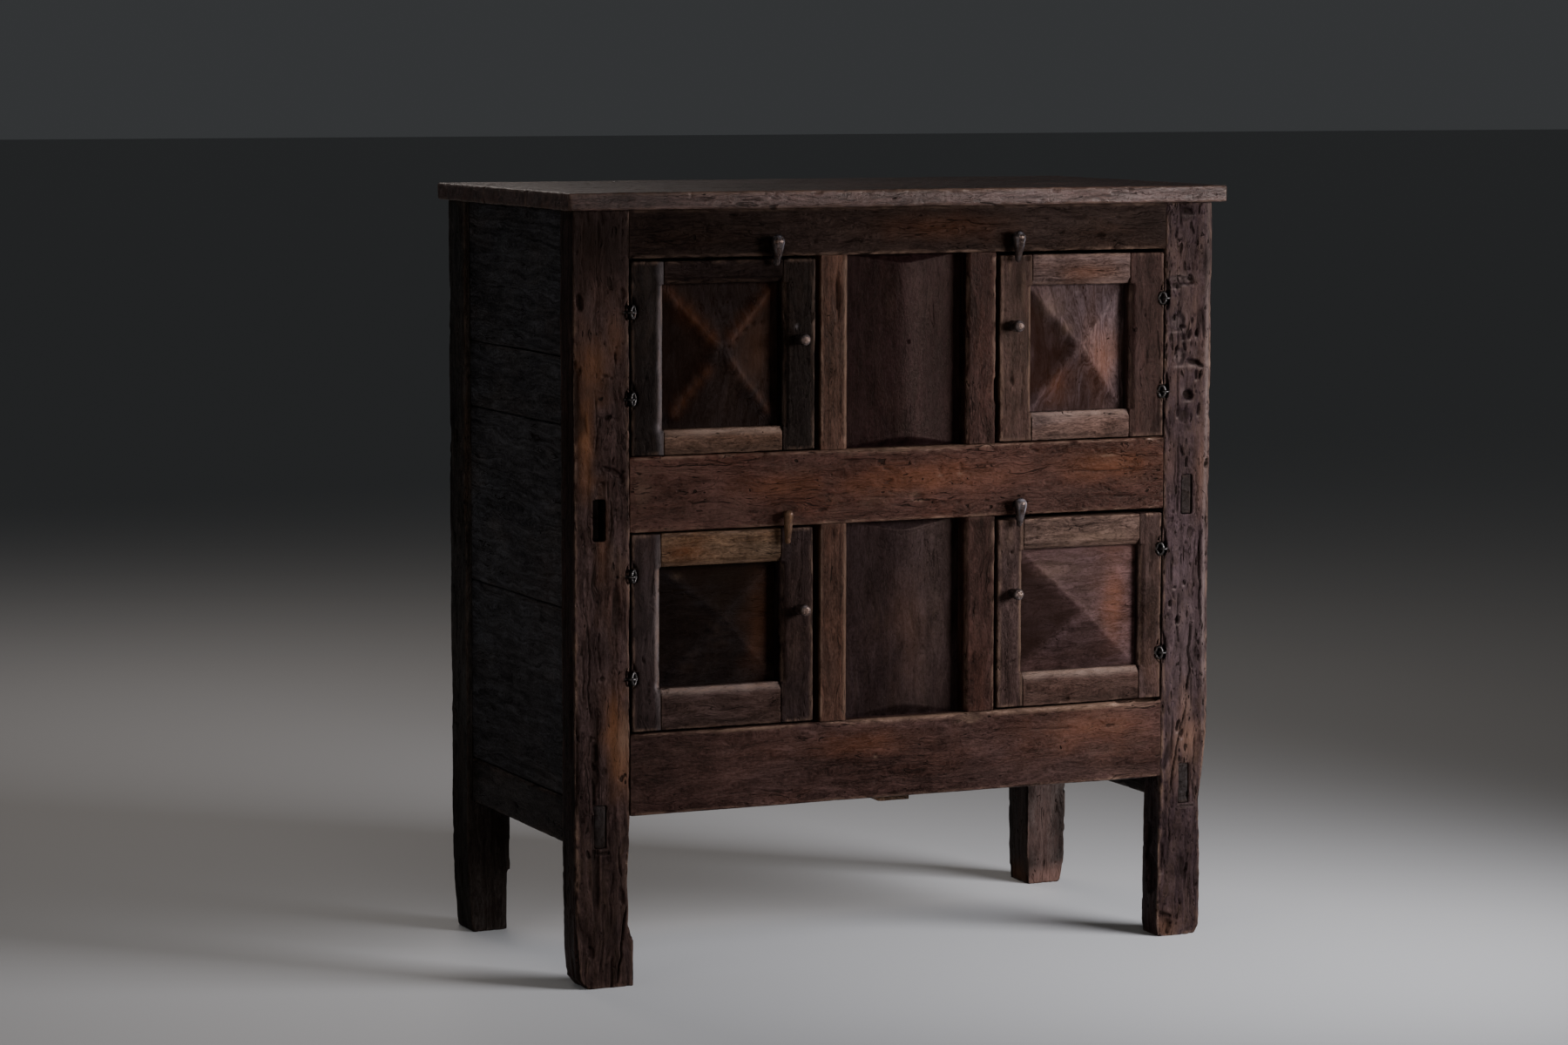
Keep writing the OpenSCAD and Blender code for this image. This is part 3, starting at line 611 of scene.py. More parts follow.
        # torn hollows along the grain
        wob = g.vec("ADD", st(88.0, 34.0), g.vec("MULTIPLY", g.vec("SUBTRACT", slow.outputs["Color"], (0.5, 0.5, 0.5)), (2.0, 2.0, 2.0)))
        d3, vc3 = g.voronoi(wob, 1.0, 1.0)
        sepg = g.node("ShaderNodeSeparateColor")
        g.put(sepg.inputs[0], vc3)
        d3 = g.math("ADD", d3, g.math("MULTIPLY", g.math("SUBTRACT", mot, 0.5), 0.22))
        gg = g.math("SUBTRACT", 1.0, g.remap(d3, 0.14, 0.30))
        gg = g.math("MULTIPLY", gg, g.math("LESS_THAN", sepg.outputs[0], 0.42 * gouge))
        deepm = g.math("MAXIMUM", deepm, g.math("MULTIPLY", g.remap(gg, 0.25, 0.9), 0.85))
    # the member's attribute brings dark marks together with painted shade and painted shadows; all are mixed towards
    # one dark colour
    gr = g.attribute("grime")
    deepm = g.math("MAXIMUM", deepm, g.math("MULTIPLY", gr, 0.9), clamp=True)
    c = g.mix(deepm, c, rgb(grimec))
    g.put(g.b.inputs["Base Color"], c)
    ro = g.math("MULTIPLY_ADD", g.math("SUBTRACT", mot, 0.5), 0.30, rough)
    ro = g.math("MULTIPLY_ADD", deepm, 0.35, ro)
    ro = g.math("MULTIPLY_ADD", wr, -0.16, ro, clamp=True)
    g.put(g.b.inputs["Roughness"], ro)
    g.put(g.b.inputs["Specular IOR Level"], g.math("MULTIPLY_ADD", g.math("MULTIPLY", wr, wr), 0.30, spec))
    g.b.inputs["Specular Tint"].default_value = rgb(tint)
    h = g.math("MULTIPLY", fib, 0.30)
    h = g.math("MULTIPLY_ADD", mot, 0.7, h)
    h = g.math("MULTIPLY_ADD", strk, 0.12, h)
    h = g.math("MULTIPLY_ADD", gran, 0.8, h)
    h = g.math("MULTIPLY_ADD", pore, -0.30, h)
    h = g.math("MULTIPLY_ADD", line, -1.5, h)
    h = g.math("MULTIPLY_ADD", nk, -1.9, h)
    h = g.math("MULTIPLY_ADD", hole, -2.2, h)
    if gg is not None:
        h = g.math("MULTIPLY_ADD", gg, -3.0, h)
    g.put(g.b.inputs["Normal"], g.bump(h, 0.75 * bump, 0.0012))
    return g.m


def iron(name, seed=0, base=(0.035, 0.031, 0.029), rust=(0.04, 0.020, 0.012), bright=(0.25, 0.24, 0.235)):
    g = G(name)
    tc = g.vec("ADD", g.node("ShaderNodeTexCoord").outputs["Object"], (0.37 * seed, 0.11, 0.05))
    n1 = g.noise(tc, 160.0, 4.0, 0.6)
    n2 = g.noise(tc, 900.0, 3.0, 0.6)
    c = g.ramp(n1, [(0.25, tuple(x * 0.5 for x in base)), (0.55, base), (0.8, tuple(x * 1.8 for x in base))])
    rm = g.remap(g.noise(tc, 95.0, 3.0, 0.6), 0.56, 0.74)
    c = g.mix(g.math("MULTIPLY", rm, 0.65), c, rgb(rust))
    bm_ = g.math("MULTIPLY", g.remap(n2, 0.52, 0.7), g.remap(n1, 0.5, 0.7))
    c = g.mix(g.math("MULTIPLY", bm_, 0.7), c, rgb(bright))
    g.put(g.b.inputs["Base Color"], c)
    g.b.inputs["Metallic"].default_value = 0.9
    g.put(g.b.inputs["Roughness"], g.math("MULTIPLY_ADD", rm, 0.30, 0.36))
    g.put(g.b.inputs["Normal"], g.bump(g.math("MULTIPLY_ADD", n1, 1.2, n2), 0.6, 0.0007))
    return g.m


# ------------------------------------------------------------------ the finishes
X, Y, Z = 0, 1, 2


def tone(mid, k=1.0, lo=0.24, hi=2.1):
    """Dark, middle and light of one wood."""
    y = 0.3 * mid[0] + 0.6 * mid[1] + 0.1 * mid[2]
    m = tuple(max(y + (x - y) * 1.18, 0.0008) * k for x in mid)
    return dict(dark=(m[0] * lo, m[1] * lo * 0.95, m[2] * lo), mid=m, light=(m[0] * hi, m[1] * hi * 1.04, m[2] * hi * 1.06))


M = {}
M["post_l"] = wood("post_left_wood", Z, gouge=0.3, **tone((0.0135, 0.0084, 0.0075)), warm=(0.060, 0.025, 0.011), seed=1, fibre=0.7, patch=1.15, streak=0.9, worm=0.55, check=0.9, pith=(-0.43, -0.16), rough=0.37)
M["post_r"] = wood("post_right_wood", Z, gouge=0.8, **tone((0.0129, 0.0085, 0.0090)), patch=0.5, warm=(0.060, 0.031, 0.020), pale=(0.078, 0.058, 0.052), seed=2, fibre=0.7, streak=0.5, hue=0.12, worm=1.0, check=0.7, pith=(0.47, -0.15), rough=0.40)
M["post_b"] = wood("back_post_wood", Z, **tone((0.0117, 0.0099, 0.0089)), wearamt=0.22, pale=(0.088, 0.052, 0.043), seed=3, patch=1.0, worm=0.5, check=0.9, pith=(0.5, 0.3), rough=0.50)
# the top rail's darker tone is partly painted shade, where the light falls off towards the top
M["rail_t"] = wood("top_rail_wood", X, **tone((0.0073, 0.0047, 0.0039)), ring=0.06, spec=0.018, streak=0.34, patch=0.9, seed=4, worm=0.4, check=0.6, pith=(-0.12, 1.10))
M["rail_m"] = wood("middle_rail_wood", X, **tone((0.0167, 0.0081, 0.0064)), ring=0.06, streak=0.34, patch=0.9, seed=5, fibre=0.6, worm=0.75, check=0.8, pith=(-0.10, 0.60), rough=0.37)
M["rail_b"] = wood("bottom_rail_wood", X, **tone((0.0148, 0.0081, 0.0069)), ring=0.06, streak=0.34, patch=0.9, seed=6, worm=0.3, check=0.4, pith=(-0.13, 0.22), rough=0.38)
M["muntin_l"] = wood("muntin_left_wood", Z, **tone((0.0178, 0.0093, 0.0068)), seed=7, ring=0.2, worm=0.3, check=0.4, pith=(-0.3, -0.22))
M["muntin_r"] = wood("muntin_right_wood", Z, **tone((0.0117, 0.0059, 0.0049)), seed=8, ring=0.2, worm=0.3, check=0.4, pith=(0.3, -0.22))
M["centre_u"] = wood("centre_panel_upper_wood", Z, **tone((0.0062, 0.0032, 0.0031)), patch=0.75, streak=0.5, seed=9, ring=0.05, fibre=0.35, worm=0.0, check=0.0, pith=(0.3, -0.2), hue=0.25, rough=0.40, bump=0.6)
M["centre_l"] = wood("centre_panel_lower_wood", Z, **tone((0.0066, 0.0042, 0.0041)), streak=0.5, patch=0.6, seed=10, ring=0.05, fibre=0.35, worm=0.05, check=0.0, pith=(0.3, -0.2), hue=0.25, rough=0.40, bump=0.6)
M["side"] = wood("side_board_wood", Y, **tone((0.0201, 0.0184, 0.0187)), wearamt=0.12, bump=0.6, patch=0.6, seed=11, worm=0.25, check=0.4, pith=(-0.3, 0.5), rough=0.50, hue=0.25)
M["top"] = wood("top_board_wood", X, tint=(1.0, 0.82, 0.72), gouge=0.25, **tone((0.0298, 0.0185, 0.0161)), worm=0.7, seed=12, ring=0.2, patch=0.8, check=0.6, pith=(0.0, 0.85), rough=0.40, spec=0.15)
M["raw"] = wood("inner_board_wood_x", X, **tone((0.085, 0.054, 0.037)), seed=13, ring=0.25, worm=0.3, check=0.5, pith=(0.1, 0.3), rough=0.65)
M["rawy"] = wood("inner_board_wood_y", Y, **tone((0.075, 0.048, 0.034)), seed=14, ring=0.25, worm=0.3, check=0.4, pith=(0.1, 0.3), rough=0.65)
M["srail"] = wood("side_rail_wood", Y, **tone((0.0116, 0.0097, 0.0092)), wearamt=0.3, seed=15, patch=1.0, worm=0.4, check=0.6, pith=(0.6, 0.15), rough=0.48)
M["ul_stile"] = wood("door_ul_stile_wood", Z, pale=(0.075, 0.064, 0.064), **tone((0.0040, 0.0031, 0.0027)), spec=0.01, wearamt=0.5, seed=16, worm=0.3, check=0.5, pith=(-0.5, -0.2), hue=0.3)
M["ul_top"] = wood("door_ul_top_rail_wood", X, **tone((0.0043, 0.0029, 0.0026)), spec=0.01, wearamt=0.4, seed=17, worm=0.2, check=0.4, pith=(-0.2, 0.95), hue=0.3)
M["ul_bot"] = wood("door_ul_bottom_rail_wood", X, pale=(0.115, 0.080, 0.062), **tone((0.0322, 0.0190, 0.0136)), seed=22, ring=0.2, worm=0.3, check=0.5, pith=(-0.16, 0.62))
M["ur_stile"] = wood("door_ur_stile_wood", Z, **tone((0.0133, 0.0074, 0.0064)), seed=18, worm=0.3, check=0.6, pith=(0.4, -0.2))
M["ur_rail"] = wood("door_ur_rail_wood", X, pale=(0.115, 0.080, 0.066), **tone((0.0319, 0.0211, 0.0182)), seed=28, worm=0.2, check=0.4, pith=(-0.18, 0.9))
M["ll_stile"] = wood("door_ll_stile_wood", Z, pale=(0.070, 0.058, 0.056), **tone((0.0068, 0.0044, 0.0041)), spec=0.02, seed=29, worm=0.3, check=0.6, pith=(0.4, -0.2))
M["ll_top"] = wood("door_ll_top_rail_wood", X, **tone((0.0317, 0.0199, 0.0130)), seed=21, ring=0.2, worm=0.35, check=0.5, pith=(-0.16, 0.62))
M["ll_bot"] = wood("door_ll_bottom_rail_wood", X, pale=(0.085, 0.062, 0.052), **tone((0.0115, 0.0069, 0.0058)), seed=20, ring=0.35, worm=0.2, check=0.5, pith=(-0.18, 0.4), spacing=0.005)
M["lr_stile"] = wood("door_lr_stile_wood", Z, **tone((0.0141, 0.0088, 0.0078)), seed=19, worm=0.3, check=0.5, pith=(0.5, -0.2))
M["lr_top"] = wood("door_lr_top_rail_wood", X, **tone((0.0268, 0.0171, 0.0136)), seed=30, ring=0.2, worm=0.3, check=0.5, pith=(-0.16, 0.62))
M["lr_bot"] = wood("door_lr_bottom_rail_wood", X, pale=(0.10, 0.070, 0.056), **tone((0.0177, 0.0100, 0.0080)), seed=31, ring=0.2, worm=0.2, check=0.4, pith=(-0.18, 0.4))
M["pan_ul"] = wood("panel_upper_left_wood", Z, **tone((0.0057, 0.0043, 0.0041)), bump=0.6, spec=0.014, grimec=(0.0034, 0.0012, 0.0004), seed=23, ring=0.25, fibre=0.45, worm=0.35, check=0.3, pith=(-0.27, -0.17), spacing=0.004)
M["pan_ur"] = wood("panel_upper_right_wood", Z, **tone((0.0279, 0.0192, 0.0188)), bump=0.6, grimec=(0.0062, 0.0019, 0.0009), seed=24, ring=0.3, fibre=0.45, worm=0.55, check=0.2, pith=(0.29, -0.17), spacing=0.004)
M["pan_ll"] = wood("panel_lower_left_wood", X, **tone((0.0030, 0.0024, 0.0024)), bump=0.6, spec=0.014, grimec=(0.0026, 0.0012, 0.0005), seed=25, ring=0.2, fibre=0.4, worm=0.15, check=0.2, pith=(-0.17, 0.5), hue=0.3)
M["pan_lr"] = wood("panel_lower_right_wood", X, **tone((0.0201, 0.0121, 0.0116)), bump=0.6, grimec=(0.0038, 0.0017, 0.0012), seed=26, ring=0.2, fibre=0.4, worm=0.15, check=0.2, pith=(-0.17, 0.5), hue=0.3)
M["peg"] = wood("peg_wood", Y, **tone((0.0139, 0.0103, 0.0093)), wearc=(0.1, 0.084, 0.084), seed=27, worm=0.0, check=0.2, pith=(0.2, 0.6), rough=0.30, spec=0.35, wearamt=0.7)
# the pale colour on the buttons' edges is a painted bluish highlight on their heads
M["button"] = wood("button_wood", Z, **tone((0.0131, 0.0099, 0.0092)), spec=0.35, rough=0.26, wearc=(0.26, 0.25, 0.275), seed=33, worm=0.0, check=0.2, pith=(0.2, 0.6), wearamt=0.7)
M["button_ll"] = wood("button_tan_wood", Z, **tone((0.0460, 0.0265, 0.0165)), seed=34, worm=0.0, check=0.2, pith=(0.2, 0.6), rough=0.38, spec=0.2, hue=0.2)
M["iron"] = iron("forged_iron", 1)


def fl(pts):
    """Place of an outline along z, by straight interpolation."""
    zs, xs = [a for a, _ in pts], [b for _, b in pts]
    return lambda p: np.interp(p[:, 2], zs, xs)


def slopes(x0, x1, z0, z1, apex, N, E, S, W, ridge=0.5, sig=9.0):
    """Painted shade on the four slopes of a pointed field, a given amount on each slope, softer along its ridges."""
    def f(p):
        lx, lz = p[:, 0] < apex[0], p[:, 2] < apex[1]
        gx = np.clip(np.where(lx, (p[:, 0] - x0) / (apex[0] - x0), (x1 - p[:, 0]) / (x1 - apex[0])), 0, 1)
        gz = np.clip(np.where(lz, (p[:, 2] - z0) / (apex[1] - z0), (z1 - p[:, 2]) / (z1 - apex[1])), 0, 1)
        tt = (gz - gx) / math.sqrt((2 / (x1 - x0)) ** 2 + (2 / (z1 - z0)) ** 2)
        h = sstep(-4, 4, tt)
        v = h * np.where(lx, W, E) + (1 - h) * np.where(lz, S, N)
        v = v * (1 - ridge * np.exp(-(tt / sig) ** 2))
        return np.clip(v * (1 + 0.25 * fbm(p / 26.0, 77, 2)), 0, 1)
    return f


def raised_shape(x0, x1, z0, z1, rise, xr, zr, apex=None, scale=1.0, power=1.25, rib=(0, 0, 0, 0), sig=7.0, soft=0.0, hip=1.0, seed=0):
    """Turns the plain slopes of a raised field into carved ones. rib: height of the round ridge towards the
    upper left, upper right, lower left and lower right corner."""
    ax_, az_ = apex or ((x0 + x1) / 2, (z0 + z1) / 2)

    def f(p, no):
        fx = np.clip(np.minimum(p[:, 0] - x0, x1 - p[:, 0]) / xr, 0, 1)
        fz = np.clip(np.minimum(p[:, 2] - z0, z1 - p[:, 2]) / zr, 0, 1)
        cad = rise * np.minimum(fx, fz)
        if apex:
            lx, lz = p[:, 0] < ax_, p[:, 2] < az_
            gx = np.clip(np.where(lx, (p[:, 0] - x0) / (ax_ - x0), (x1 - p[:, 0]) / (x1 - ax_)), 0, 1)
            gz = np.clip(np.where(lz, (p[:, 2] - z0) / (az_ - z0), (z1 - p[:, 2]) / (z1 - az_)), 0, 1)
            m = np.minimum(gx, gz)
            new = rise * scale * m ** power
            L = 1 / math.sqrt((2 / (x1 - x0)) ** 2 + (2 / (z1 - z0)) ** 2)
            t = np.abs(gx - gz) * L
            q = np.where(lx, np.where(lz, rib[2], rib[0]), np.where(lz, rib[3], rib[1]))
            # blend of the four heights across the middle, so that no step shows
            new = new + q * np.exp(-(t / sig) ** 2) * sstep(0.02, 0.25, m) * (1 - 0.75 * sstep(0.85, 1.0, m))
        else:
            k = 0.05
            gx = 1 - (np.sqrt((1 - fx) ** 2 + k * k) - k) / (math.sqrt(1 + k * k) - k)
            gz = np.clip(np.minimum(p[:, 2] - z0, z1 - p[:, 2]) / (zr * hip), 0, 1)
            s = soft
            h = np.clip(0.5 + 0.5 * (gz - gx) / s, 0, 1)
            m = gz * (1 - h) + gx * h - s * h * (1 - h)
            new = rise * scale * np.clip(m, 0, 1)
        fr = sstep(0.2, 0.6, -no[:, 1]) * (np.minimum(fx * xr, fz * zr) > 0)
        p[:, 1] -= (new - cad) * fr
        return p
    return f


FL_L = fl([(0, -478), (14, -490), (60, -494), (150, -496), (1075, -496)])
FL_R = fl([(0, -410), (62, -410), (88, -417), (150, -419), (226, -414), (1075, -414)])
FR_L = fl([(0, 421), (20, 418), (140, 419), (232, 421), (1075, 421)])
FR_R = fl([(0, 479), (14, 487), (120, 488), (200, 484), (300, 496), (1075, 496)])
BL_L = fl([(0, -488), (90, -496), (1075, -496)])
BL_R = fl([(0, -433), (88, -432), (90, -428), (1075, -428)])
BR_L = fl([(0, 431), (60, 428), (1075, 428)])
BR_R = fl([(0, 487), (40, 494), (120, 496), (1075, 496)])

HZ = {-1: (816, 935, 430, 572), 1: (802, 937, 421, 573)}     # heights of the hinges, left and right
POST_L = [
    # the dark marks at the top of the post are painted shade, where the light falls off towards the top left
    ("dent", "front", (-455, 1066), (4, 13), 2.2, 12, 0.3), ("dark", "front", (-436, 1058), (20, 24), 0.7),
    ("dark", "front", (-470, 1040), (30, 45), 0.45),
    ("crack", "front", [(-443, 1054), (-460, 990), (-466, 918)], 0.9, 0.7, 0.15), ("crack", "front", [(-434, 1050), (-438, 1015)], 0.8, 0.6, 0.1),
    ("crack", "front", [(-480, 1070), (-484, 1000), (-478, 960)], 1.0, 0.9, 0.5),
    ("dent", "front", (-487, 950), (6, 15), 4.5, 8, 0.85), ("dent", "front", (-441, 968), (5, 3), 1.6, -35, 0.4),
    ("dent", "front", (-424, 962), (5, 9), 2.5, 15, 0.4), ("dent", "front", (-450, 849), (6, 2.5), 1.8, -10, 0.7),
    ("dent", "front", (-441, 846), (3, 2), 1.6, 10, 0.7), ("dent", "front", (-488, 856), (4, 8), 2.2, -14, 0.6),
    ("dent", "front", (-446, 792), (7, 4), 3.4, 28, 0.95), ("dent", "front", (-434, 789), (7, 1.8), 1.2, -5, 0.1),
    ("dent", "front", (-458, 786), (2.5, 9), 1.8, -12, 0.6), ("crack", "front", [(-466, 830), (-462, 775), (-464, 742)], 1.3, 1.8, 0.6),
    ("dent", "front", (-436, 716), (13, 5), 2.6, -38, 0.35), ("dent", "front", (-426, 706), (5, 8), 3.0, 10, 0.5),
    ("dent", "front", (-448, 722), (8, 3), 2.2, -25, 0.6),
    ("crack", "front", [(-443, 678), (-441, 655), (-443, 630)], 1.2, 1.6, 0.6), ("slot", "front", (-462, -446, 679.5, 681.5), 1.6, 0.6),
    ("slot", "front", (-462.5, -445, 681, 704), 0.9, 0.12), ("crack", "front", [(-463, 704), (-462.5, 681)], 1.0, 1.2, 0.7),
    ("crack", "front", [(-445, 704), (-445.5, 681)], 1.0, 1.2, 0.7), ("dent", "front", (-454, 701), (5, 3), 2.0, -30, 0.6),
    ("dent", "front", (-433, 572), (2.5, 2.5), 1.8, 0, 0.85), ("dent", "front", (-478, 560), (4, 18), 2.0, 0, 0.2),
    ("crack", "front", [(-478, 520), (-474, 470), (-476, 420), (-472, 368)], 1.5, 2.2, 0.75),
    ("crack", "front", [(-470, 498), (-467, 455)], 1.2, 1.8, 0.7), ("crack", "front", [(-460, 500), (-461, 470), (-457, 438)], 1.5, 2.2, 0.75),
    ("crack", "front", [(-484, 470), (-483, 400)], 1.2, 1.8, 0.7), ("dent", "front", (-456, 432), (4, 5), 2.0, 0, 0.7),
    ("crack", "front", [(-436, 520), (-434, 440), (-428, 380)], 1.0, 1.0, 0.4),
    ("warm", "front", (-468, 862), (24, 40), 0.75), ("warm", "front", (-478, 765), (11, 62), 0.95), ("warm", "front", (-437, 900), (13, 34), 0.4),
    ("warm", "front", (-437, 365), (14, 46), 0.9), ("warm", "front", (-430, 320), (15, 34), 0.85), ("warm", "front", (-455, 630), (10, 60), 0.35),
    ("pale", "front", (-425, 345), (8, 40), 0.45), ("dark", "front", (-446, 470), (24, 60), 0.25),
    ("dent", "front", (-453, 303), (5, 7), 1.8, 0, 0.7), ("dark", "front", (-452, 303), (10, 14), 0.5),
    ("dent", "front", (-466, 330), (5, 16), 2.4, 0, 0.3), ("crack", "front", [(-470, 300), (-468, 262), (-470, 225)], 1.3, 1.8, 0.6),
    ("slot", "front", (-464, -446, 187.5, 190.5), 3.0, 0.85), ("crack", "front", [(-464.5, 253), (-464, 191)], 1.0, 1.4, 0.7),
    ("crack", "front", [(-446.5, 253), (-447, 191)], 1.0, 1.4, 0.7), ("crack", "front", [(-463, 253), (-448, 253)], 0.9, 1.0, 0.5),
    ("crack", "front", [(-420, 118), (-425, 92), (-429, 50), (-435, 0)], 1.7, 4.0, 0.9), ("crack", "front", [(-440, 170), (-446, 120), (-444, 80)], 1.2, 1.6, 0.6),
    ("crack", "front", [(-458, 130), (-456, 60), (-462, 15)], 1.2, 1.4, 0.6), ("crack", "front", [(-433, 200), (-429, 150)], 1.2, 1.8, 0.7),
    ("dent", "front", (-428, 128), (5, 14), 2.4, 6, 0.5), ("dent", "front", (-416, 170), (6, 24), 3.0, 0, 0.3), ("dent", "front", (-474, 52), (6, 12), 2.8, 15, 0.2),
    ("dark", "front", (-452, 70), (50, 110), 0.45),
    ("dent", "left", (12, 420), (7, 60), 3.0, 0, 0.1), ("dent", "left", (30, 690), (9, 40), 2.4, 0, 0.2),
]
POST_R = [
    ("dent", "front", (455, 1062), (9, 5), 3.2, -20, 0.85), ("dark", "front", (452, 1060), (16, 12), 0.7),
    ("dark", "front", (486, 992), (7, 26), 0.75), ("dark", "front", (432, 1040), (14, 24), 0.3),
    ("dent", "front", (447, 962), (20, 6), 4.2, -8, 0.35), ("dent", "front", (437, 955), (8, 4), 2.5, 0, 0.8), ("dent", "front", (461, 966), (5, 4), 2.5, -40, 0.75),
    ("pale", "front", (446, 966), (20, 5), 0.6), ("dent", "front", (441, 903), (10, 13), 3.2, 10, 0.2), ("dent", "front", (437, 909), (3, 5), 2.4, 0, 0.85),
    ("dent", "front", (449, 895), (4, 3), 2.2, 0, 0.85), ("pale", "front", (442, 901), (10, 12), 0.45),
    ("dent", "front", (460, 884), (2.6, 7), 2.8, -20, 0.9), ("dent", "front", (472, 886), (2.4, 6), 2.6, -12, 0.85), ("dent", "front", (450, 880), (2.6, 5), 2.2, 0, 0.7),
    ("dent", "front", (444, 852), (8, 12), 3.2, 0, 0.25), ("dent", "front", (439, 860), (2.4, 8), 2.4, -8, 0.85), ("dent", "front", (452, 866), (2.2, 7), 2.4, 14, 0.8),
    ("pale", "front", (445, 850), (8, 10), 0.4), ("dent", "front", (468, 843), (11, 4), 4.5, -16, 0.95), ("dent", "front", (479, 838), (5, 3), 2.5, -30, 0.6),
    ("pale", "front", (470, 838), (11, 3), 0.5), ("dent", "front", (472, 826), (2.4, 8), 2.2, 0, 0.75), ("dent", "front", (459, 796), (7, 8), 4.2, 25, 0.95),
    ("pale", "front", (451, 801), (5, 6), 0.5), ("dent", "front", (476, 775), (2.2, 9), 2.0, -8, 0.6), ("dent", "front", (442, 770), (2.2, 6), 1.8, 0, 0.6),
    ("crack", "front", [(457, 706), (456, 690)], 2.2, 3.2, 0.95), ("crack", "front", [(444, 735), (443, 690), (445, 650), (443, 622)], 1.4, 2.0, 0.7),
    ("crack", "front", [(438, 700), (439, 640)], 1.2, 1.6, 0.6), ("crack", "front", [(474, 690), (476, 650), (475, 610)], 1.3, 1.8, 0.65),
    ("warm", "front", (484, 690), (10, 60), 0.6), ("warm", "front", (430, 700), (9, 30), 0.3),
    ("crack", "front", [(482, 610), (480, 560), (483, 505), (482, 470)], 2.0, 3.2, 0.92), ("crack", "front", [(474, 600), (471, 540), (469, 500)], 1.2, 1.6, 0.6),
    ("crack", "front", [(469, 470), (465, 425), (466, 390), (460, 355)], 1.9, 3.0, 0.9), ("crack", "front", [(447, 505), (445, 455), (448, 430)], 1.5, 2.2, 0.8),
    ("crack", "front", [(476, 455), (478, 400)], 1.4, 2.0, 0.7), ("crack", "front", [(434, 560), (435, 520)], 1.2, 1.6, 0.6),
    ("crack", "front", [(451, 420), (450, 370)], 1.2, 1.6, 0.6), ("dent", "front", (446, 468), (3, 6), 2.6, 0, 0.9), ("dent", "front", (433, 492), (2.5, 5), 2.2, 0, 0.8),
    ("dent", "front", (456, 522), (2.4, 4), 2.0, 0, 0.8), ("dent", "front", (440, 515), (3, 2), 1.8, 0, 0.7), ("dent", "front", (448, 312), (3, 9), 2.8, -14, 0.85),
    ("dent", "front", (454, 300), (2.4, 7), 2.4, -14, 0.8), ("warm", "front", (466, 292), (18, 26), 0.85), ("warm", "front", (458, 330), (10, 30), 0.5), ("warm", "front", (442, 262), (8, 30), 0.5),
    ("crack", "front", [(462, 352), (452, 300), (444, 268), (438, 240), (441, 205)], 1.7, 2.6, 0.88), ("crack", "front", [(478, 300), (474, 262), (472, 250)], 1.4, 2.0, 0.7),
    ("crack", "front", [(455.5, 256), (455.5, 193)], 1.0, 1.4, 0.75), ("crack", "front", [(475, 256), (475, 193)], 1.0, 1.4, 0.75), ("slot", "front", (454, 476, 190, 193), 2.4, 0.7),
    ("pale", "front", (464, 192), (11, 3), 0.5), ("crack", "front", [(434, 200), (436, 150), (432, 100)], 1.2, 1.6, 0.6), ("crack", "front", [(462, 170), (464, 110), (460, 60)], 1.2, 1.5, 0.6),
    ("dent", "front", (424, 14), (14, 22), 5.0, -20, 0.15), ("warm", "front", (430, 12), (16, 16), 0.95), ("dent", "front", (421, 120), (5, 22), 2.4, 0, 0.1),
    ("dark", "front", (455, 110), (40, 90), 0.35), ("dent", "left", (20, 90), (14, 26), 3.4, 0, 0.2), ("dent", "left", (30, 150), (10, 18), 2.6, 0, 0.2),
]
MID = [
    # the pale strips along the top edge and bevel are worn paler and painted highlight; the dark marks at x = -181 and
    # 181 are painted shadows of the lower turn buttons
    ("pale", "top", (8, 3), (96, 9), 0.9), ("pale", "front", (8, 735), (90, 4), 0.8),
    ("dent", "front", (25, 665), (11, 5), 2.4, 14, 0.45), ("dent", "front", (31, 661), (5, 2), 1.2, 30, 0.8), ("pale", "front", (20, 668), (10, 5), 0.4),
    ("crack", "front", [(-120, 674), (-96, 673), (-82, 675)], 1.1, 1.6, 0.85), ("crack", "front", [(-60, 668), (-20, 667)], 0.9, 1.2, 0.7),
    ("crack", "front", [(196, 672), (224, 671)], 1.1, 1.6, 0.85), ("crack", "front", [(118, 707), (150, 706)], 1.0, 1.4, 0.75),
    ("crack", "front", [(-40, 712), (12, 710)], 0.9, 1.2, 0.6), ("crack", "front", [(280, 692), (330, 690), (352, 691)], 1.0, 1.4, 0.7),
    ("crack", "front", [(-330, 700), (-270, 698)], 0.9, 1.2, 0.5), ("crack", "front", [(300, 655), (372, 652)], 1.0, 1.4, 0.7),
    ("crack", "front", [(-240, 646), (-190, 646)], 0.9, 1.0, 0.5), ("crack", "front", [(40, 640), (110, 641)], 1.0, 1.2, 0.6),
    ("warm", "front", (30, 690), (110, 20), 0.35), ("warm", "front", (330, 700), (70, 22), 0.35), ("warm", "front", (-190, 688), (60, 16), 0.3),
    ("dark", "front", (-330, 660), (110, 26), 0.35), ("pale", "front", (-396, 690), (10, 22), 0.3), ("dark", "front", (181, 655), (14, 20), 0.4),
    ("dark", "front", (-181, 655), (14, 18), 0.35), ("crack", "front", [(150, 649), (168, 650)], 1.4, 2.0, 0.9),
    ("dent", "front", (330, 716), (14, 3), 1.0, 24, 0.1), ("dent", "front", (60, 702), (4, 8), 0.9, 0, 0.35), ("dent", "front", (92, 704), (4, 9), 0.9, 0, 0.35),
]
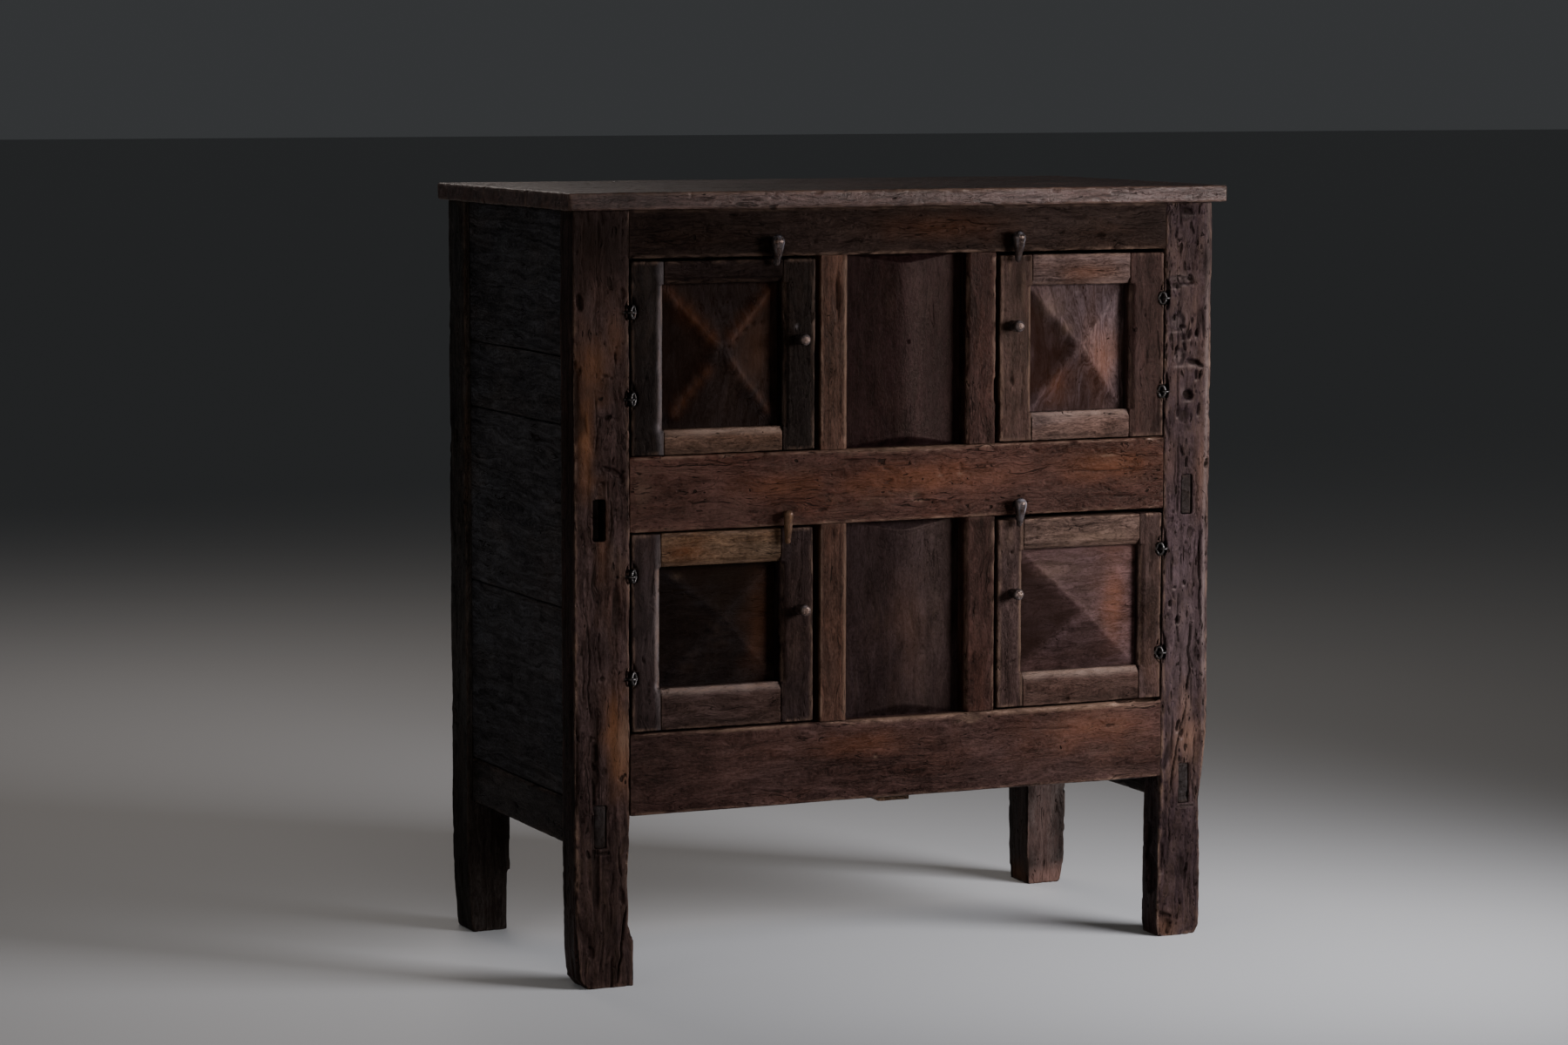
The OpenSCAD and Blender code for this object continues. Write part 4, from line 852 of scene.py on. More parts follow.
BOT = [
    # the pale strips along the top edge are chipped and worn paler, and painted highlight
    ("pale", "front", (300, 349), (120, 3.5), 0.8), ("pale", "front", (110, 343), (16, 5), 0.6), ("dent", "front", (112, 341), (9, 3), 1.0, 10, 0.3), ("pale", "front", (-240, 350), (60, 2.5), 0.7),
    ("pale", "top", (8, 2), (96, 7), 0.8), ("pale", "front", (8, 351), (90, 3), 0.7), ("pale", "top", (285, 2), (130, 6), 0.6),
    ("dent", "top", (398, 8), (26, 14), 3.6, 4, 0.3), ("dent", "top", (360, 4), (16, 7), 2.4, 0, 0.2), ("dent", "top", (-80, 3), (20, 5), 1.8, 0, 0.1),
    ("pale", "top", (398, 8), (30, 14), 0.6), ("dent", "front", (390, 348), (26, 4), 2.2, 3, 0.25), ("dent", "front", (-40, 300), (2.5, 2.5), 1.8, 0, 0.95),
    ("crack", "front", [(200, 322), (290, 318)], 1.0, 1.3, 0.6), ("crack", "front", [(-300, 262), (-180, 258)], 1.0, 1.2, 0.5),
    ("dark", "front", (-320, 300), (100, 50), 0.25), ("warm", "front", (310, 318), (90, 24), 0.3), ("warm", "front", (-60, 320), (90, 16), 0.2),
    ("dark", "front", (250, 262), (120, 14), 0.3),
]
TOPR = [
    # painted shade over the rail's left part and in a band under the top's overhang; the dark marks at x = -198 and 176
    # are painted shadows of the upper turn buttons
    ("dark", "front", (-330, 1045), (130, 60), 0.35), ("dark", "front", (-60, 1070), (500, 10), 0.3),
    ("dent", "front", (-300, 1046), (3, 5), 1.3, -35, 0.3), ("dent", "front", (-390, 1030), (5, 2), 1.2, 0, 0.3), ("dark", "front", (-390, 1045), (60, 30), 0.4),
    ("crack", "front", [(-10, 1040), (60, 1041)], 0.9, 1.2, 0.5), ("crack", "front", [(180, 1058), (300, 1055)], 1.0, 1.2, 0.6),
    ("dark", "front", (-198, 1016), (14, 18), 0.5), ("dark", "front", (176, 1016), (12, 16), 0.4), ("dark", "front", (400, 1040), (26, 34), 0.35),
    ("dent", "front", (250, 1034), (5, 3), 1.2, 20, 0.4), ("warm", "front", (60, 1045), (80, 18), 0.2),
]

POST_R = [(f[0], f[1], f[2], (f[3][0] * 1.25, f[3][1] * 1.2), f[4] * 1.35, f[5], min(1.0, f[6] * 1.15)) if f[0] == "dent" else f for f in POST_R]
# painted shade on the post's left face and over the top of its front
POST_L += [("dark", "left", (25, 560), (40, 700), 0.55), ("dark", "front", (-462, 1030), (60, 80), 0.98), ("dark", "front", (-460, 880), (40, 60), 0.12)]
# notches at the hinges, with painted shade inside them
POST_L += [("dent", "front", (-415.5, zz + 2), (6, 16), 5.0, 0, 0.9) for zz in HZ[-1]]
# more painted shade at the top of the post
POST_L += [("dark", "front", (-450, 1030), (60, 80), 0.22)]
# painted shade over the upper front of the post and painted light lower down, as the light grows towards the foot; the
# pale strips along the right arris are painted highlights
POST_R += [("dark", "front", (450, 960), (50, 120), 0.22), ("dark", "front", (450, 790), (50, 130), 0.22), ("pale", "front", (456, 430), (34, 150), 0.16), ("pale", "front", (490, 850), (3, 260), 0.9), ("pale", "front", (489, 500), (3, 180), 0.8)]
POST_R += [("warm", "front", (470, 935), (13, 60), 0.25), ("warm", "front", (436, 830), (12, 40), 0.2), ("warm", "front", (482, 860), (9, 60), 0.2), ("warm", "front", (440, 990), (16, 30), 0.2)]


def lips(feats, amt):
    """Paler lower lips of the hollows."""
    return [("pale", "front", (f[2][0] - 0.1 * f[3][0], f[2][1] - f[3][1] - 0.6), (max(2.4, f[3][0] * 0.85), 1.7), amt) for f in feats if f[0] == "dent" and f[1] == "front" and f[3][0] >= 2.4]


POST_R += lips(POST_R, 0.8)
MID += lips(MID, 0.6)
BOT += lips(BOT, 0.6)
# notches at the hinges, with painted shade inside them and painted shadow beside the eyes
POST_R += [("dent", "front", (421.5, zz + 7), (6.5, 24), 7.0, 0, 1.0) for zz in HZ[1]]
POST_R += [("dark", "front", (422, zz + 6), (6, 26), 1.0) for zz in HZ[1]]
V = 0.0018        # grid of the front members
PV = 0.0014
post = dict(r=2.0, chip=5.0, bow=2.2, ripple=0.4, nick=1.6, split=0.45, tool=0.3)
member("post_front_left", PV, Wear(Z, 100, **post, pits=0.35, x0=FL_L, x1=FL_R, feats=POST_L), M["post_l"])
member("post_front_right", PV, Wear(Z, 200, **{**post, "bow": 2.4, "split": 0.2}, pits=0.7, deep=1.25, x0=FR_L, x1=FR_R, feats=POST_R), M["post_r"])
member("post_back_left", 0.0030, Wear(Z, 300, **post, pits=0.25, x0=BL_L, x1=BL_R,
       feats=[("dent", "left", (484, 316), (9, 14), 5, 0, 0.3), ("dent", "left", (486, 268), (7, 12), 4, 0, 0.3), ("slot", "left", (464, 476, 722, 740), 3, 0.8), ("dark", "left", (480, 120), (60, 160), 0.6), ("dark", "front", (-470, 120), (60, 160), 0.6)]), M["post_b"])
member("post_back_right", 0.0030, Wear(Z, 400, **post, pits=0.25, x0=BR_L, x1=BR_R,
       feats=[("pale", "front", (460, 8), (44, 22), 0.85), ("warm", "front", (470, 6), (40, 16), 0.3), ("warm", "left", (480, 10), (40, 20), 0.5), ("pale", "front", (455, 90), (26, 120), 0.38), ("pale", "left", (450, 90), (40, 120), 0.2), ("pale", "front", (428, 70), (5, 60), 0.6)]), M["post_b"])
member("front_rail_top", V, Wear(X, 500, tight=[(0, 0, 2, 0, 1200), (0, 1, 2, 0, 1200)], r=1.3, chip=3.0, bow=0.8, ripple=0.12, pits=0.05, tool=0.12, nick=0.8, x0=-414, x1=421, y0=0, y1=42, feats=TOPR), M["rail_t"])
member("front_rail_middle", V, Wear(X, 600, tight=[(0, 0, 2, 0, 1200), (0, 1, 2, 0, 1200)], r=1.5, chip=3.0, bow=0.9, ripple=0.12, pits=0.25, deep=0.7, tool=0.14, nick=1.0, x0=-414, x1=421, y0=0, y1=42, feats=MID, big=[(2, 1, 7.5, -86, 102)]), M["rail_m"])
member("front_rail_bottom", V, Wear(X, 700, tight=[(0, 0, 2, 0, 1200), (0, 1, 2, 0, 1200)], r=1.5, chip=3.8, bow=1.0, ripple=0.12, pits=0.04, tool=0.12, nick=1.4, x0=-414, x1=421, y0=0, y1=42, feats=BOT, big=[(2, 1, 5.5, -88, 104), (2, 1, 4.0, 150, 424)]), M["rail_b"])
mun = dict(r=1.2, chip=1.8, bow=0.5, ripple=0.12, tool=0.1, nick=0.6)
# the narrow pale strips along the right edges of the left muntins are painted highlights on their chamfers
member("muntin_upper_left", V, Wear(Z, 800, tight=[(2, 0, 0, -900, 900), (2, 1, 0, -900, 900)], **mun, z0=736, z1=1008, x0=-127, x1=-84, big=[(0, 1, 6.0, 700, 1050)],
       feats=[("dent", "front", (-101, 956), (3.2, 36), 3.0, 1.5, 0.75), ("dent", "front", (-101, 948), (7, 34), 1.6, 0, 0.15), ("dark", "front", (-118, 960), (10, 40), 0.3), ("pale", "front", (-88, 870), (3.2, 190), 0.7), ("pale", "front", (-106, 870), (20, 190), 0.07)]), M["muntin_l"])
member("muntin_upper_right", V, Wear(Z, 900, tight=[(2, 0, 0, -900, 900), (2, 1, 0, -900, 900)], **{**mun, "bow": 0.8}, edge=1.3, big=[(0, 1, 3.0, 700, 1050)], z0=736, z1=1008, x0=100, x1=147,
       feats=[("dent", "right", (10, 812), (20, 22), 4.0, 0, 0.1), ("dent", "front", (147, 812), (6, 24), 2.5, 0, 0.2), ("dark", "front", (140, 760), (10, 30), 0.4)]), M["muntin_r"])
member("muntin_lower_left", V, Wear(Z, 1000, tight=[(2, 0, 0, -900, 900), (2, 1, 0, -900, 900)], **mun, big=[(0, 1, 5.0, 300, 700)], z0=352, z1=632, x0=-127, x1=-84, feats=[("dark", "front", (-122, 600), (8, 40), 0.4), ("dark", "front", (-106, 490), (26, 190), 0.28), ("pale", "front", (-88, 490), (3.2, 190), 0.6)]), M["muntin_l"])
member("muntin_lower_right", V, Wear(Z, 1100, tight=[(2, 0, 0, -900, 900), (2, 1, 0, -900, 900)], **{**mun, "bow": 0.7}, edge=0.8, big=[(0, 1, 2.5, 300, 700)], z0=352, z1=632, x0=100, x1=147,
       feats=[("dark", "front", (123, 622), (26, 12), 0.5), ("dark", "front", (123, 490), (28, 190), 0.28)]), M["muntin_r"])
cp = dict(r=0.6, chip=0.0, bow=0.6, ripple=0.05, tool=0.06, nick=0.0)
# on both centre panels the dark marks on the slopes and along the foot are painted shade, and the faint pale mark on
# the lower panel's right slope is a painted highlight
member("centre_panel_upper", V, Wear(Z, 1200, **cp, shape=raised_shape(-84, 100, 736, 1008, 15, 91.5, 22, soft=0.12, scale=0.85, hip=0.6),
       feats=[("dent", "front", (15, 883), (2.4, 2.4), 4.0, 0, 1.0), ("dark", "front", (-60, 800), (30, 60), 0.25), ("dark", "front", (8, 742), (90, 7), 0.25), ("dark", "front", (66, 870), (30, 220), 0.35), ("dark", "front", (-50, 870), (36, 200), 0.2)]), M["centre_u"])
member("centre_panel_lower", V, Wear(Z, 1300, **cp, shape=raised_shape(-84, 100, 352, 632, 15, 91.5, 22, soft=0.15, scale=0.7, hip=0.7),
       feats=[("dark", "front", (-60, 560), (30, 60), 0.25), ("dark", "front", (8, 364), (90, 12), 0.4), ("warm", "front", (20, 480), (20, 60), 0.06), ("pale", "front", (56, 492), (52, 170), 0.045)]), M["centre_l"])
member("side_rail_left", 0.003, Wear(Y, 1400, feats=[("dark", "front", (-459, 226), (14, 40), 0.62)], r=2.0, chip=5.0, bow=1.0, pits=0.15, nick=1.5, y0=50, y1=435), M["srail"])
member("side_rail_right", 0.003, Wear(Y, 1500, feats=[("dark", "front", (459, 226), (14, 40), 0.35)], r=2.0, chip=5.0, bow=1.0, pits=0.15, nick=1.5, y0=50, y1=435), M["srail"])
member("shelf_bearers", 0.0035, Wear(Y, 1600, feats=[("dark", "front", (459, 651), (14, 40), 0.55), ("dark", "front", (-459, 651), (14, 40), 0.9)], r=1.2, chip=1.5, bow=0.6, y0=50, y1=435), M["srail"])
member("side_boards_left", 0.0035, Wear(Y, 1700, r=1.3, chip=1.6, bow=1.1, ripple=0.3, feats=[("dark", "left", (250, 260), (260, 160), 0.32), ("warm", "left", (120, 560), (60, 60), 0.06)]), M["side"])
member("side_boards_right", 0.0035, Wear(Y, 1800, r=1.3, chip=1.6, bow=1.1, ripple=0.3), M["side"])
member("back_rails", 0.004, Wear(X, 1900, r=1.5, chip=2.0, bow=0.9), M["raw"])
member("back_boards", 0.0045, Wear(X, 2000, r=1.4, chip=2.0, bow=1.2, ripple=0.35), M["raw"])
member("floor_boards", 0.005, Wear(X, 2100, r=1.4, chip=1.5, bow=1.0), M["raw"])
member("shelf_boards", 0.005, Wear(X, 2200, r=1.4, chip=1.5, bow=1.0), M["raw"])
member("floor_bearer", 0.003, Wear(Y, 2300, r=1.8, chip=2.5, bow=0.8, y0=42, y1=470), M["rawy"])
tb = dict(bow=0.9, ripple=0.3, nick=1.2, tool=0.2)
# painted shade at the left end of the top's front edge and under its lip; the pale top arris is worn paler and painted
# highlight
TOPB = [("dark", "front", (-400, 1086), (150, 14), 0.42), ("dark", "front", (-150, 1080), (260, 6), 0.3), ("pale", "front", (-300, 1097), (120, 2.5), 0.5), ("pale", "front", (60, 1097), (220, 2.5), 0.5),
        ("dent", "front", (-140, 1097), (9, 4), 2.2, 8, 0.1), ("dent", "front", (-205, 1096), (4, 3), 1.6, 0, 0.1), ("dent", "front", (-330, 1095), (3, 5), 1.6, 0, 0.1), ("dent", "front", (70, 1097), (12, 3), 1.6, -5, 0.1),
        ("dent", "front", (230, 1096), (8, 4), 2.0, 0, 0.1), ("dent", "front", (350, 1097), (6, 4), 2.0, 0, 0.1), ("crack", "front", [(-470, 1089), (-380, 1091)], 0.9, 1.0, 0.5),
        ("crack", "front", [(120, 1085), (260, 1087), (330, 1085)], 0.9, 1.2, 0.6)]
member("top_board_front", 0.0022, Wear(X, 2400, r=2.4, chip=2.5, **tb, pits=0.28, deep=0.7, feats=TOPB), M["top"])
member("top_board_middle", 0.0028, Wear(X, 2500, r=2.0, chip=2.0, **tb, pits=0.05), M["top"])
member("top_board_back", 0.0028, Wear(X, 2600, r=2.0, chip=2.0, **tb, pits=0.05), M["top"])

# each door: x0, x1, z0, z1, side of the hinges, widths of hinge stile, lock stile, top and bottom rail
DW = {"upper_left": (-411, -135, 738, 1004, 1, 48, 49, 32, 34), "upper_right": (153, 418, 738, 1003, -1, 56, 52, 44, 40),
      "lower_left": (-411, -137, 355, 629, 1, 43, 50, 47, 58), "lower_right": (152, 418, 355, 626, -1, 36, 41, 45, 49)}
DM = {"upper_left": ("ul_stile", "ul_stile", "ul_top", "ul_bot", "pan_ul"), "upper_right": ("ur_stile", "ur_stile", "ur_rail", "ur_rail", "pan_ur"),
      "lower_left": ("ll_stile", "ll_stile", "ll_top", "ll_bot", "pan_ll"), "lower_right": ("lr_stile", "lr_stile", "lr_top", "lr_bot", "pan_lr")}
PS = {"upper_left": dict(rise=14, apex=(-273, 880), power=1.3, rib=(5.0, 4.0, 2.6, 4.6), sig=11.0),
      "upper_right": dict(rise=14, apex=(286, 870), power=1.3, rib=(4.8, 2.0, 4.4, 3.2), sig=10.0),
      "lower_left": dict(rise=14, apex=(-270, 508), scale=0.85, power=1.05, rib=(0.8, 0.2, 0.8, 0.3), sig=9.0),
      "lower_right": dict(rise=13, apex=(294, 486), scale=1.0, power=1.1, rib=(0.7, 0.3, 0.3, 0.6), sig=5.0)}
# painted shade on the four slopes of each door panel: north, east, south, west
SH = {"upper_left": (0.40, 0.50, 0.45, 0.7), "upper_right": (0.44, 0.0, 0.66, 0.95), "lower_left": (0.75, 0.5, 0.35, 0.5), "lower_right": (0.34, 0.0, 0.54, 0.95)}
# broad bevels towards the panel: hinge stile, lock stile, top rail, bottom rail
BV = {"upper_left": (7.0, 1.5, 1.5, 6.0), "upper_right": (1.5, 3.0, 1.5, 5.0), "lower_left": (6.5, 1.5, 1.5, 5.0), "lower_right": (1.5, 3.0, 1.5, 4.0)}
def trail(a, b, n, r, amt):
    """Warmer places along a ridge."""
    return [("warm", "front", (a[0] + (b[0] - a[0]) * (i + 0.5) / n, a[1] + (b[1] - a[1]) * (i + 0.5) / n), (r, r), amt) for i in range(n)]


# marks on each door: the dark marks beside the hinges and along the hinge stiles' outer edges are painted shade and
# shadow; those below the turn buttons (upper left door's top rail, lower left door's top rail and lock stile, upper
# right door's lock stile) are painted shadows of the buttons; on the panels the dark marks on the left and lower slopes
# are painted shade
DF = {
    "upper_left": {
        "hinge_stile": [("dark", "front", (-405, 870), (10, 120), 0.3)],
        "lock_stile": [("dent", "front", (-161, 909), (4, 4), 1.4, 0, 0.3), ("pale", "front", (-163, 910), (3, 3), 0.5), ("dent", "front", (-150, 812), (3, 2), 1.0, 0, 0.4),
                       ("dark", "front", (-160, 990), (26, 16), 0.3)],
        "top_rail": [("dark", "front", (-200, 990), (26, 20), 0.5)],
        "bottom_rail": [("dent", "top", (-270, 4), (30, 4), 1.2, 0, 0.1), ("dark", "front", (-300, 742), (60, 5), 0.4)],
        "panel": [("dent", "front", (-236, 906), (7, 3.2), 2.2, 38, 0.85), ("dent", "front", (-222, 914), (5, 3), 2.0, 20, 0.8), ("dent", "front", (-250, 893), (5, 3), 2.2, 50, 0.85),
                  ("dent", "front", (-207, 916), (5, 3), 1.8, 30, 0.8), ("dent", "front", (-262, 884), (4, 3), 2.0, 0, 0.8), ("crack", "front", [(-274, 884), (-271, 868), (-268, 852)], 1.2, 1.4, 0.7),
                  ("crack", "front", [(-278, 880), (-277, 862)], 1.0, 1.2, 0.6), ("warm", "front", (-215, 880), (22, 40), 0.22), ("pale", "front", (-216, 876), (24, 50), 0.10),
                  ("dark", "front", (-345, 870), (24, 50), 0.4), ("dark", "front", (-270, 785), (80, 16), 0.35)]
             + trail((-352, 962), (-283, 892), 6, 13, 0.26) + trail((-262, 892), (-190, 962), 6, 13, 0.22) + trail((-345, 790), (-290, 855), 5, 12, 0.18) + trail((-262, 868), (-192, 790), 5, 10, 0.12)},
    "upper_right": {
        "hinge_stile": [("crack", "front", [(402, 800), (401, 750)], 1.1, 1.4, 0.7), ("crack", "front", [(409, 812), (408, 742)], 1.2, 1.6, 0.75), ("crack", "front", [(394, 790), (394, 756)], 1.0, 1.2, 0.6),
                        ("crack", "front", [(380, 940), (379, 860)], 0.9, 1.0, 0.5), ("dark", "front", (406, 770), (14, 40), 0.45), ("dark", "front", (410, 940), (9, 30), 0.5)],
        "lock_stile": [("dark", "front", (181, 972), (10, 34), 0.5), ("pale", "front", (190, 960), (4, 34), 0.45), ("pale", "front", (168, 985), (3, 20), 0.35),
                       ("dent", "front", (197, 998), (5, 4), 2.0, 0, 0.7), ("dent", "front", (160, 925), (2.5, 2), 1.2, 0, 0.6), ("crack", "front", [(190, 870), (189, 790)], 0.9, 1.0, 0.5)],
        "top_rail": [("warm", "front", (290, 975), (40, 14), 0.3), ("pale", "front", (330, 962), (40, 8), 0.3)],
        "bottom_rail": [("pale", "front", (280, 772), (60, 8), 0.35)],
        "panel": [("pale", "front", (236, 925), (24, 20), 0.5), ("pale", "front", (262, 896), (14, 12), 0.45), ("warm", "front", (325, 850), (26, 40), 0.5), ("warm", "front", (252, 815), (26, 26), 0.5),
                  ("dent", "front", (290, 946), (14, 5), 0.9, 20, 0.3), ("dent", "front", (262, 930), (10, 4), 0.9, -30, 0.2), ("dark", "front", (330, 800), (20, 14), 0.45),
                  ("crack", "front", [(288, 876), (285, 862), (289, 850)], 1.1, 1.3, 0.7), ("dent", "front", (268, 818), (6, 8), 1.2, 0, 0.45)]},
    "lower_left": {
        "hinge_stile": [("dark", "front", (-405, 480), (10, 120), 0.25), ("pale", "front", (-370, 416), (4, 8), 0.6)],
        "lock_stile": [("crack", "front", [(-157, 628), (-156, 560)], 1.0, 1.4, 0.7), ("dent", "front", (-160, 532), (3, 3), 1.2, 0, 0.5), ("dark", "front", (-180, 610), (8, 20), 0.5)],
        "top_rail": [("dent", "front", (-240, 612), (8, 2), 1.0, 0, 0.3), ("dent", "front", (-310, 596), (5, 2), 1.0, 0, 0.5), ("warm", "front", (-330, 602), (30, 16), 0.4), ("dark", "front", (-195, 605), (9, 18), 0.5)],
        "bottom_rail": [("pale", "top", (-280, 5), (90, 7), 0.4), ("dent", "front", (-360, 409), (5, 3), 1.6, 0, 0.1)],
        "panel": [("crack", "front", [(-338, 572), (-330, 560)], 0.9, 0.6, 0.0), ("pale", "front", (-335, 566), (7, 4), 0.3), ("warm", "front", (-212, 500), (20, 60), 0.25),
                  ("dark", "front", (-345, 500), (26, 70), 0.5)]},
    "lower_right": {
        "hinge_stile": [("crack", "front", [(400, 600), (399, 520)], 0.9, 1.0, 0.5), ("dark", "front", (410, 480), (9, 90), 0.3)],
        "lock_stile": [("dent", "front", (174, 579), (2.6, 2.6), 3.0, 0, 1.0), ("dent", "front", (176, 421), (6, 3), 1.6, 20, 0.6), ("pale", "front", (170, 600), (10, 16), 0.25),
                       ("dent", "front", (168, 596), (4, 2), 1.0, 0, 0.4), ("dark", "front", (178, 560), (12, 16), 0.4)],
        "top_rail": [("dark", "front", (206, 612), (14, 8), 0.55), ("dent", "front", (214, 610), (4, 2), 1.2, 0, 0.5), ("pale", "front", (300, 596), (60, 8), 0.35)],
        "bottom_rail": [("pale", "front", (290, 400), (80, 5), 0.3)],
        "panel": [("pale", "front", (252, 548), (30, 14), 0.3), ("warm", "front", (345, 500), (22, 60), 0.4), ("dark", "front", (215, 440), (20, 30), 0.3)]},
}
# tone of the hinge stile and of the lock stile against their wood
SC = {"upper_left": ("pale", 0.02, "dark", 0.05), "upper_right": ("dark", 0.34, "pale", 0.14), "lower_left": ("pale", 0.07, "dark", 0.25), "lower_right": ("pale", 0.05, "dark", 0.18)}
for i, (k, mats) in enumerate(DM.items()):
    x0, x1, z0, z1, h, hs, ls, tr, br = DW[k]
    sx0, sx1 = (x0 + hs, x1 - ls) if h > 0 else (x0 + ls, x1 - hs)
    sz0, sz1 = z0 + br, z1 - tr
    s = 3000 + 500 * i
    F = DF[k]
    B = BV[k]
    hh = 1 if h > 0 else 0                       # side of the hinge stile's inner edge
    # notches at the hinges, with painted shade inside them
    F["hinge_stile"] += [("dent", "front", (x0 + 1.5 if h > 0 else x1 - 1.5, zz + 3), (6, 19), 5.0, 0, 1.0) for zz in HZ[-h] if z0 < zz < z1]
    # painted highlight on the bottom rail's top bevel and painted shade along its lower edge
    F["bottom_rail"] += [("pale", "top", ((sx0 + sx1) / 2, 3), ((sx1 - sx0) * 0.6, 8), 0.6),
                         ("pale", "front", ((sx0 + sx1) / 2, sz0 - 3.5), ((sx1 - sx0) * 0.75, 5.5), 0.95),
                         ("dark", "front", ((sx0 + sx1) / 2, z0 + 5), ((sx1 - sx0) * 0.8, 9), 0.45)]
    zm, zh = (z0 + z1) / 2, z1 - z0
    # painted shadow of the hinge eyes on the hinge stile
    F["hinge_stile"] += [("dark", "front", (x0 + 2 if h > 0 else x1 - 2, zz), (13, 15), 1.0) for zz in HZ[-h] if z0 < zz < z1]
    F["hinge_stile"] += [(SC[k][0], "front", ((x0 + hs / 2) if h > 0 else (x1 - hs / 2), zm), (hs * 0.7, zh * 0.7), SC[k][1])]
    F["lock_stile"] += [(SC[k][2], "front", ((x1 - ls / 2) if h > 0 else (x0 + ls / 2), zm), (ls * 0.7, zh * 0.7), SC[k][3])]
    # painted highlights on the inner bevel of the hinge stile (left doors) or of the lock stile (right doors), where
    # they catch the light
    if h > 0:
        F["hinge_stile"] += [("pale", "front", (sx0 - 4, (sz0 + sz1) / 2), (4.5, (sz1 - sz0) * 0.8), 0.85), ("pale", "right", (4, (sz0 + sz1) / 2), (8, (sz1 - sz0) * 0.8), 0.6),
                             ("dent", "front", (sx0 - 4, sz0 + 3), (6, 8), 1.6, 0, 0.0), ("pale", "front", (sx0 - 4, sz0 + 4), (6, 8), 1.0)]
    else:
        F["lock_stile"] += [("pale", "front", (sx0 - 2.5, (sz0 + sz1) / 2), (3, (sz1 - sz0) * 0.8), 0.6)]
    xi, xk = (sx0, sx1) if h > 0 else (sx1, sx0)  # where the rails butt the two stiles
    st = dict(r=1.3, chip=2.4, bow=0.7, nick=1.2, ripple=0.14, tool=0.12, pits=0.04)
    member(f"door_{k}_hinge_stile", V, Wear(Z, s, **st, edge=0.5, feats=F["hinge_stile"], big=[(0, hh, B[0], sz0, sz1)],
           tight=[(0, hh, 2, z0 - 9, sz0), (0, hh, 2, sz1, z1 + 9)]), M[mats[0]])
    member(f"door_{k}_lock_stile", V, Wear(Z, s + 50, **st, edge=1.0, feats=F["lock_stile"], big=[(0, 1 - hh, B[1], sz0, sz1), (0, hh, 2.5, z0 - 9, z1 + 9)],
           tight=[(0, 1 - hh, 2, z0 - 9, sz0), (0, 1 - hh, 2, sz1, z1 + 9)]), M[mats[1]])
    rl = dict(r=1.1, chip=1.8, bow=0.6, nick=0.9, ripple=0.14, tool=0.12, pits=0.03, x0=sx0, x1=sx1, tight=[(0, 0, 2, z0 - 9, z1 + 9), (0, 1, 2, z0 - 9, z1 + 9)])
    member(f"door_{k}_top_rail", V, Wear(X, s + 100, **rl, edge=0.4, feats=F["top_rail"], big=[(2, 0, B[2], sx0 - 9, sx1 + 9)]), M[mats[2]])
    member(f"door_{k}_bottom_rail", V, Wear(X, s + 150, **rl, edge=0.6, feats=F["bottom_rail"], big=[(2, 1, B[3], sx0 - 9, sx1 + 9)]), M[mats[3]])
    # the tint paints shade on the panel's slopes
    member(f"door_{k}_panel", V, Wear(Z, s + 200, r=0.6, chip=0.0, nick=0.0, bow=0.9, ripple=0.06, tool=0.12, feats=F["panel"],
           tint=slopes(sx0, sx1, sz0, sz1, PS[k]["apex"], *SH[k], ridge=0.9 if k == "upper_left" else 0.5),
           shape=raised_shape(sx0, sx1, sz0, sz1, xr=(sx1 - sx0) / 2 - 0.5, zr=(sz1 - sz0) / 2 - 0.5, seed=s, **PS[k])), M[mats[4]])
    member(f"door_{k}_knob", 0.0009, Wear(Y, s + 250, r=0.3, chip=0.2, bow=0.4, ripple=0.05, tool=0.25, nick=0.2), M["peg"])
    member(f"turn_button_{k}", 0.0009, Wear(Z, s + 300, r=0.3, chip=0.2, bow=0.6, ripple=0.15, tool=0.4, nick=0.2), M["button_ll" if k == "lower_left" else "button"])


def wire(paths, r, name, node, seed):
    """Round hammered wire along paths of points in metres: one mesh that stands for the node."""
    vs, fs = [], []
    ns = 12
    for k, path in enumerate(paths):
        pts = [Vector(q) for q in path]
        base = len(vs)
        up = None
        for i, c in enumerate(pts):
            d = (pts[min(i + 1, len(pts) - 1)] - pts[max(i - 1, 0)]).normalized()
            if up is None:
                up = d.orthogonal().normalized()
            up = (up - d * up.dot(d)).normalized()
            sd = d.cross(up)
            for j in range(ns):
                a = 2 * math.pi * j / ns
                rr = r * (1 + 0.10 * math.sin(3.1 * i + 1.7 * j + seed + k) * math.sin(1.3 * i + 0.9 * k))
                vs.append(c + (up * math.cos(a) + sd * math.sin(a)) * rr)
        for i in range(len(pts) - 1):
            for j in range(ns):
                a, b = base + i * ns + j, base + i * ns + (j + 1) % ns
                fs.append((a, b, b + ns, a + ns))
        fs.append(tuple(base + j for j in reversed(range(ns))))
        fs.append(tuple(base + (len(pts) - 1) * ns + j for j in range(ns)))
    me = bpy.data.meshes.new(name)
    me.from_pydata([tuple(v) for v in vs], [], fs)
    me.polygons.foreach_set("use_smooth", np.ones(len(me.polygons), bool))
    me.materials.append(M["iron"])
    ob = bpy.data.objects.new(name, me)
    col.objects.link(ob)
    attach(ob, BODY[node])
    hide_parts(node)
    return ob


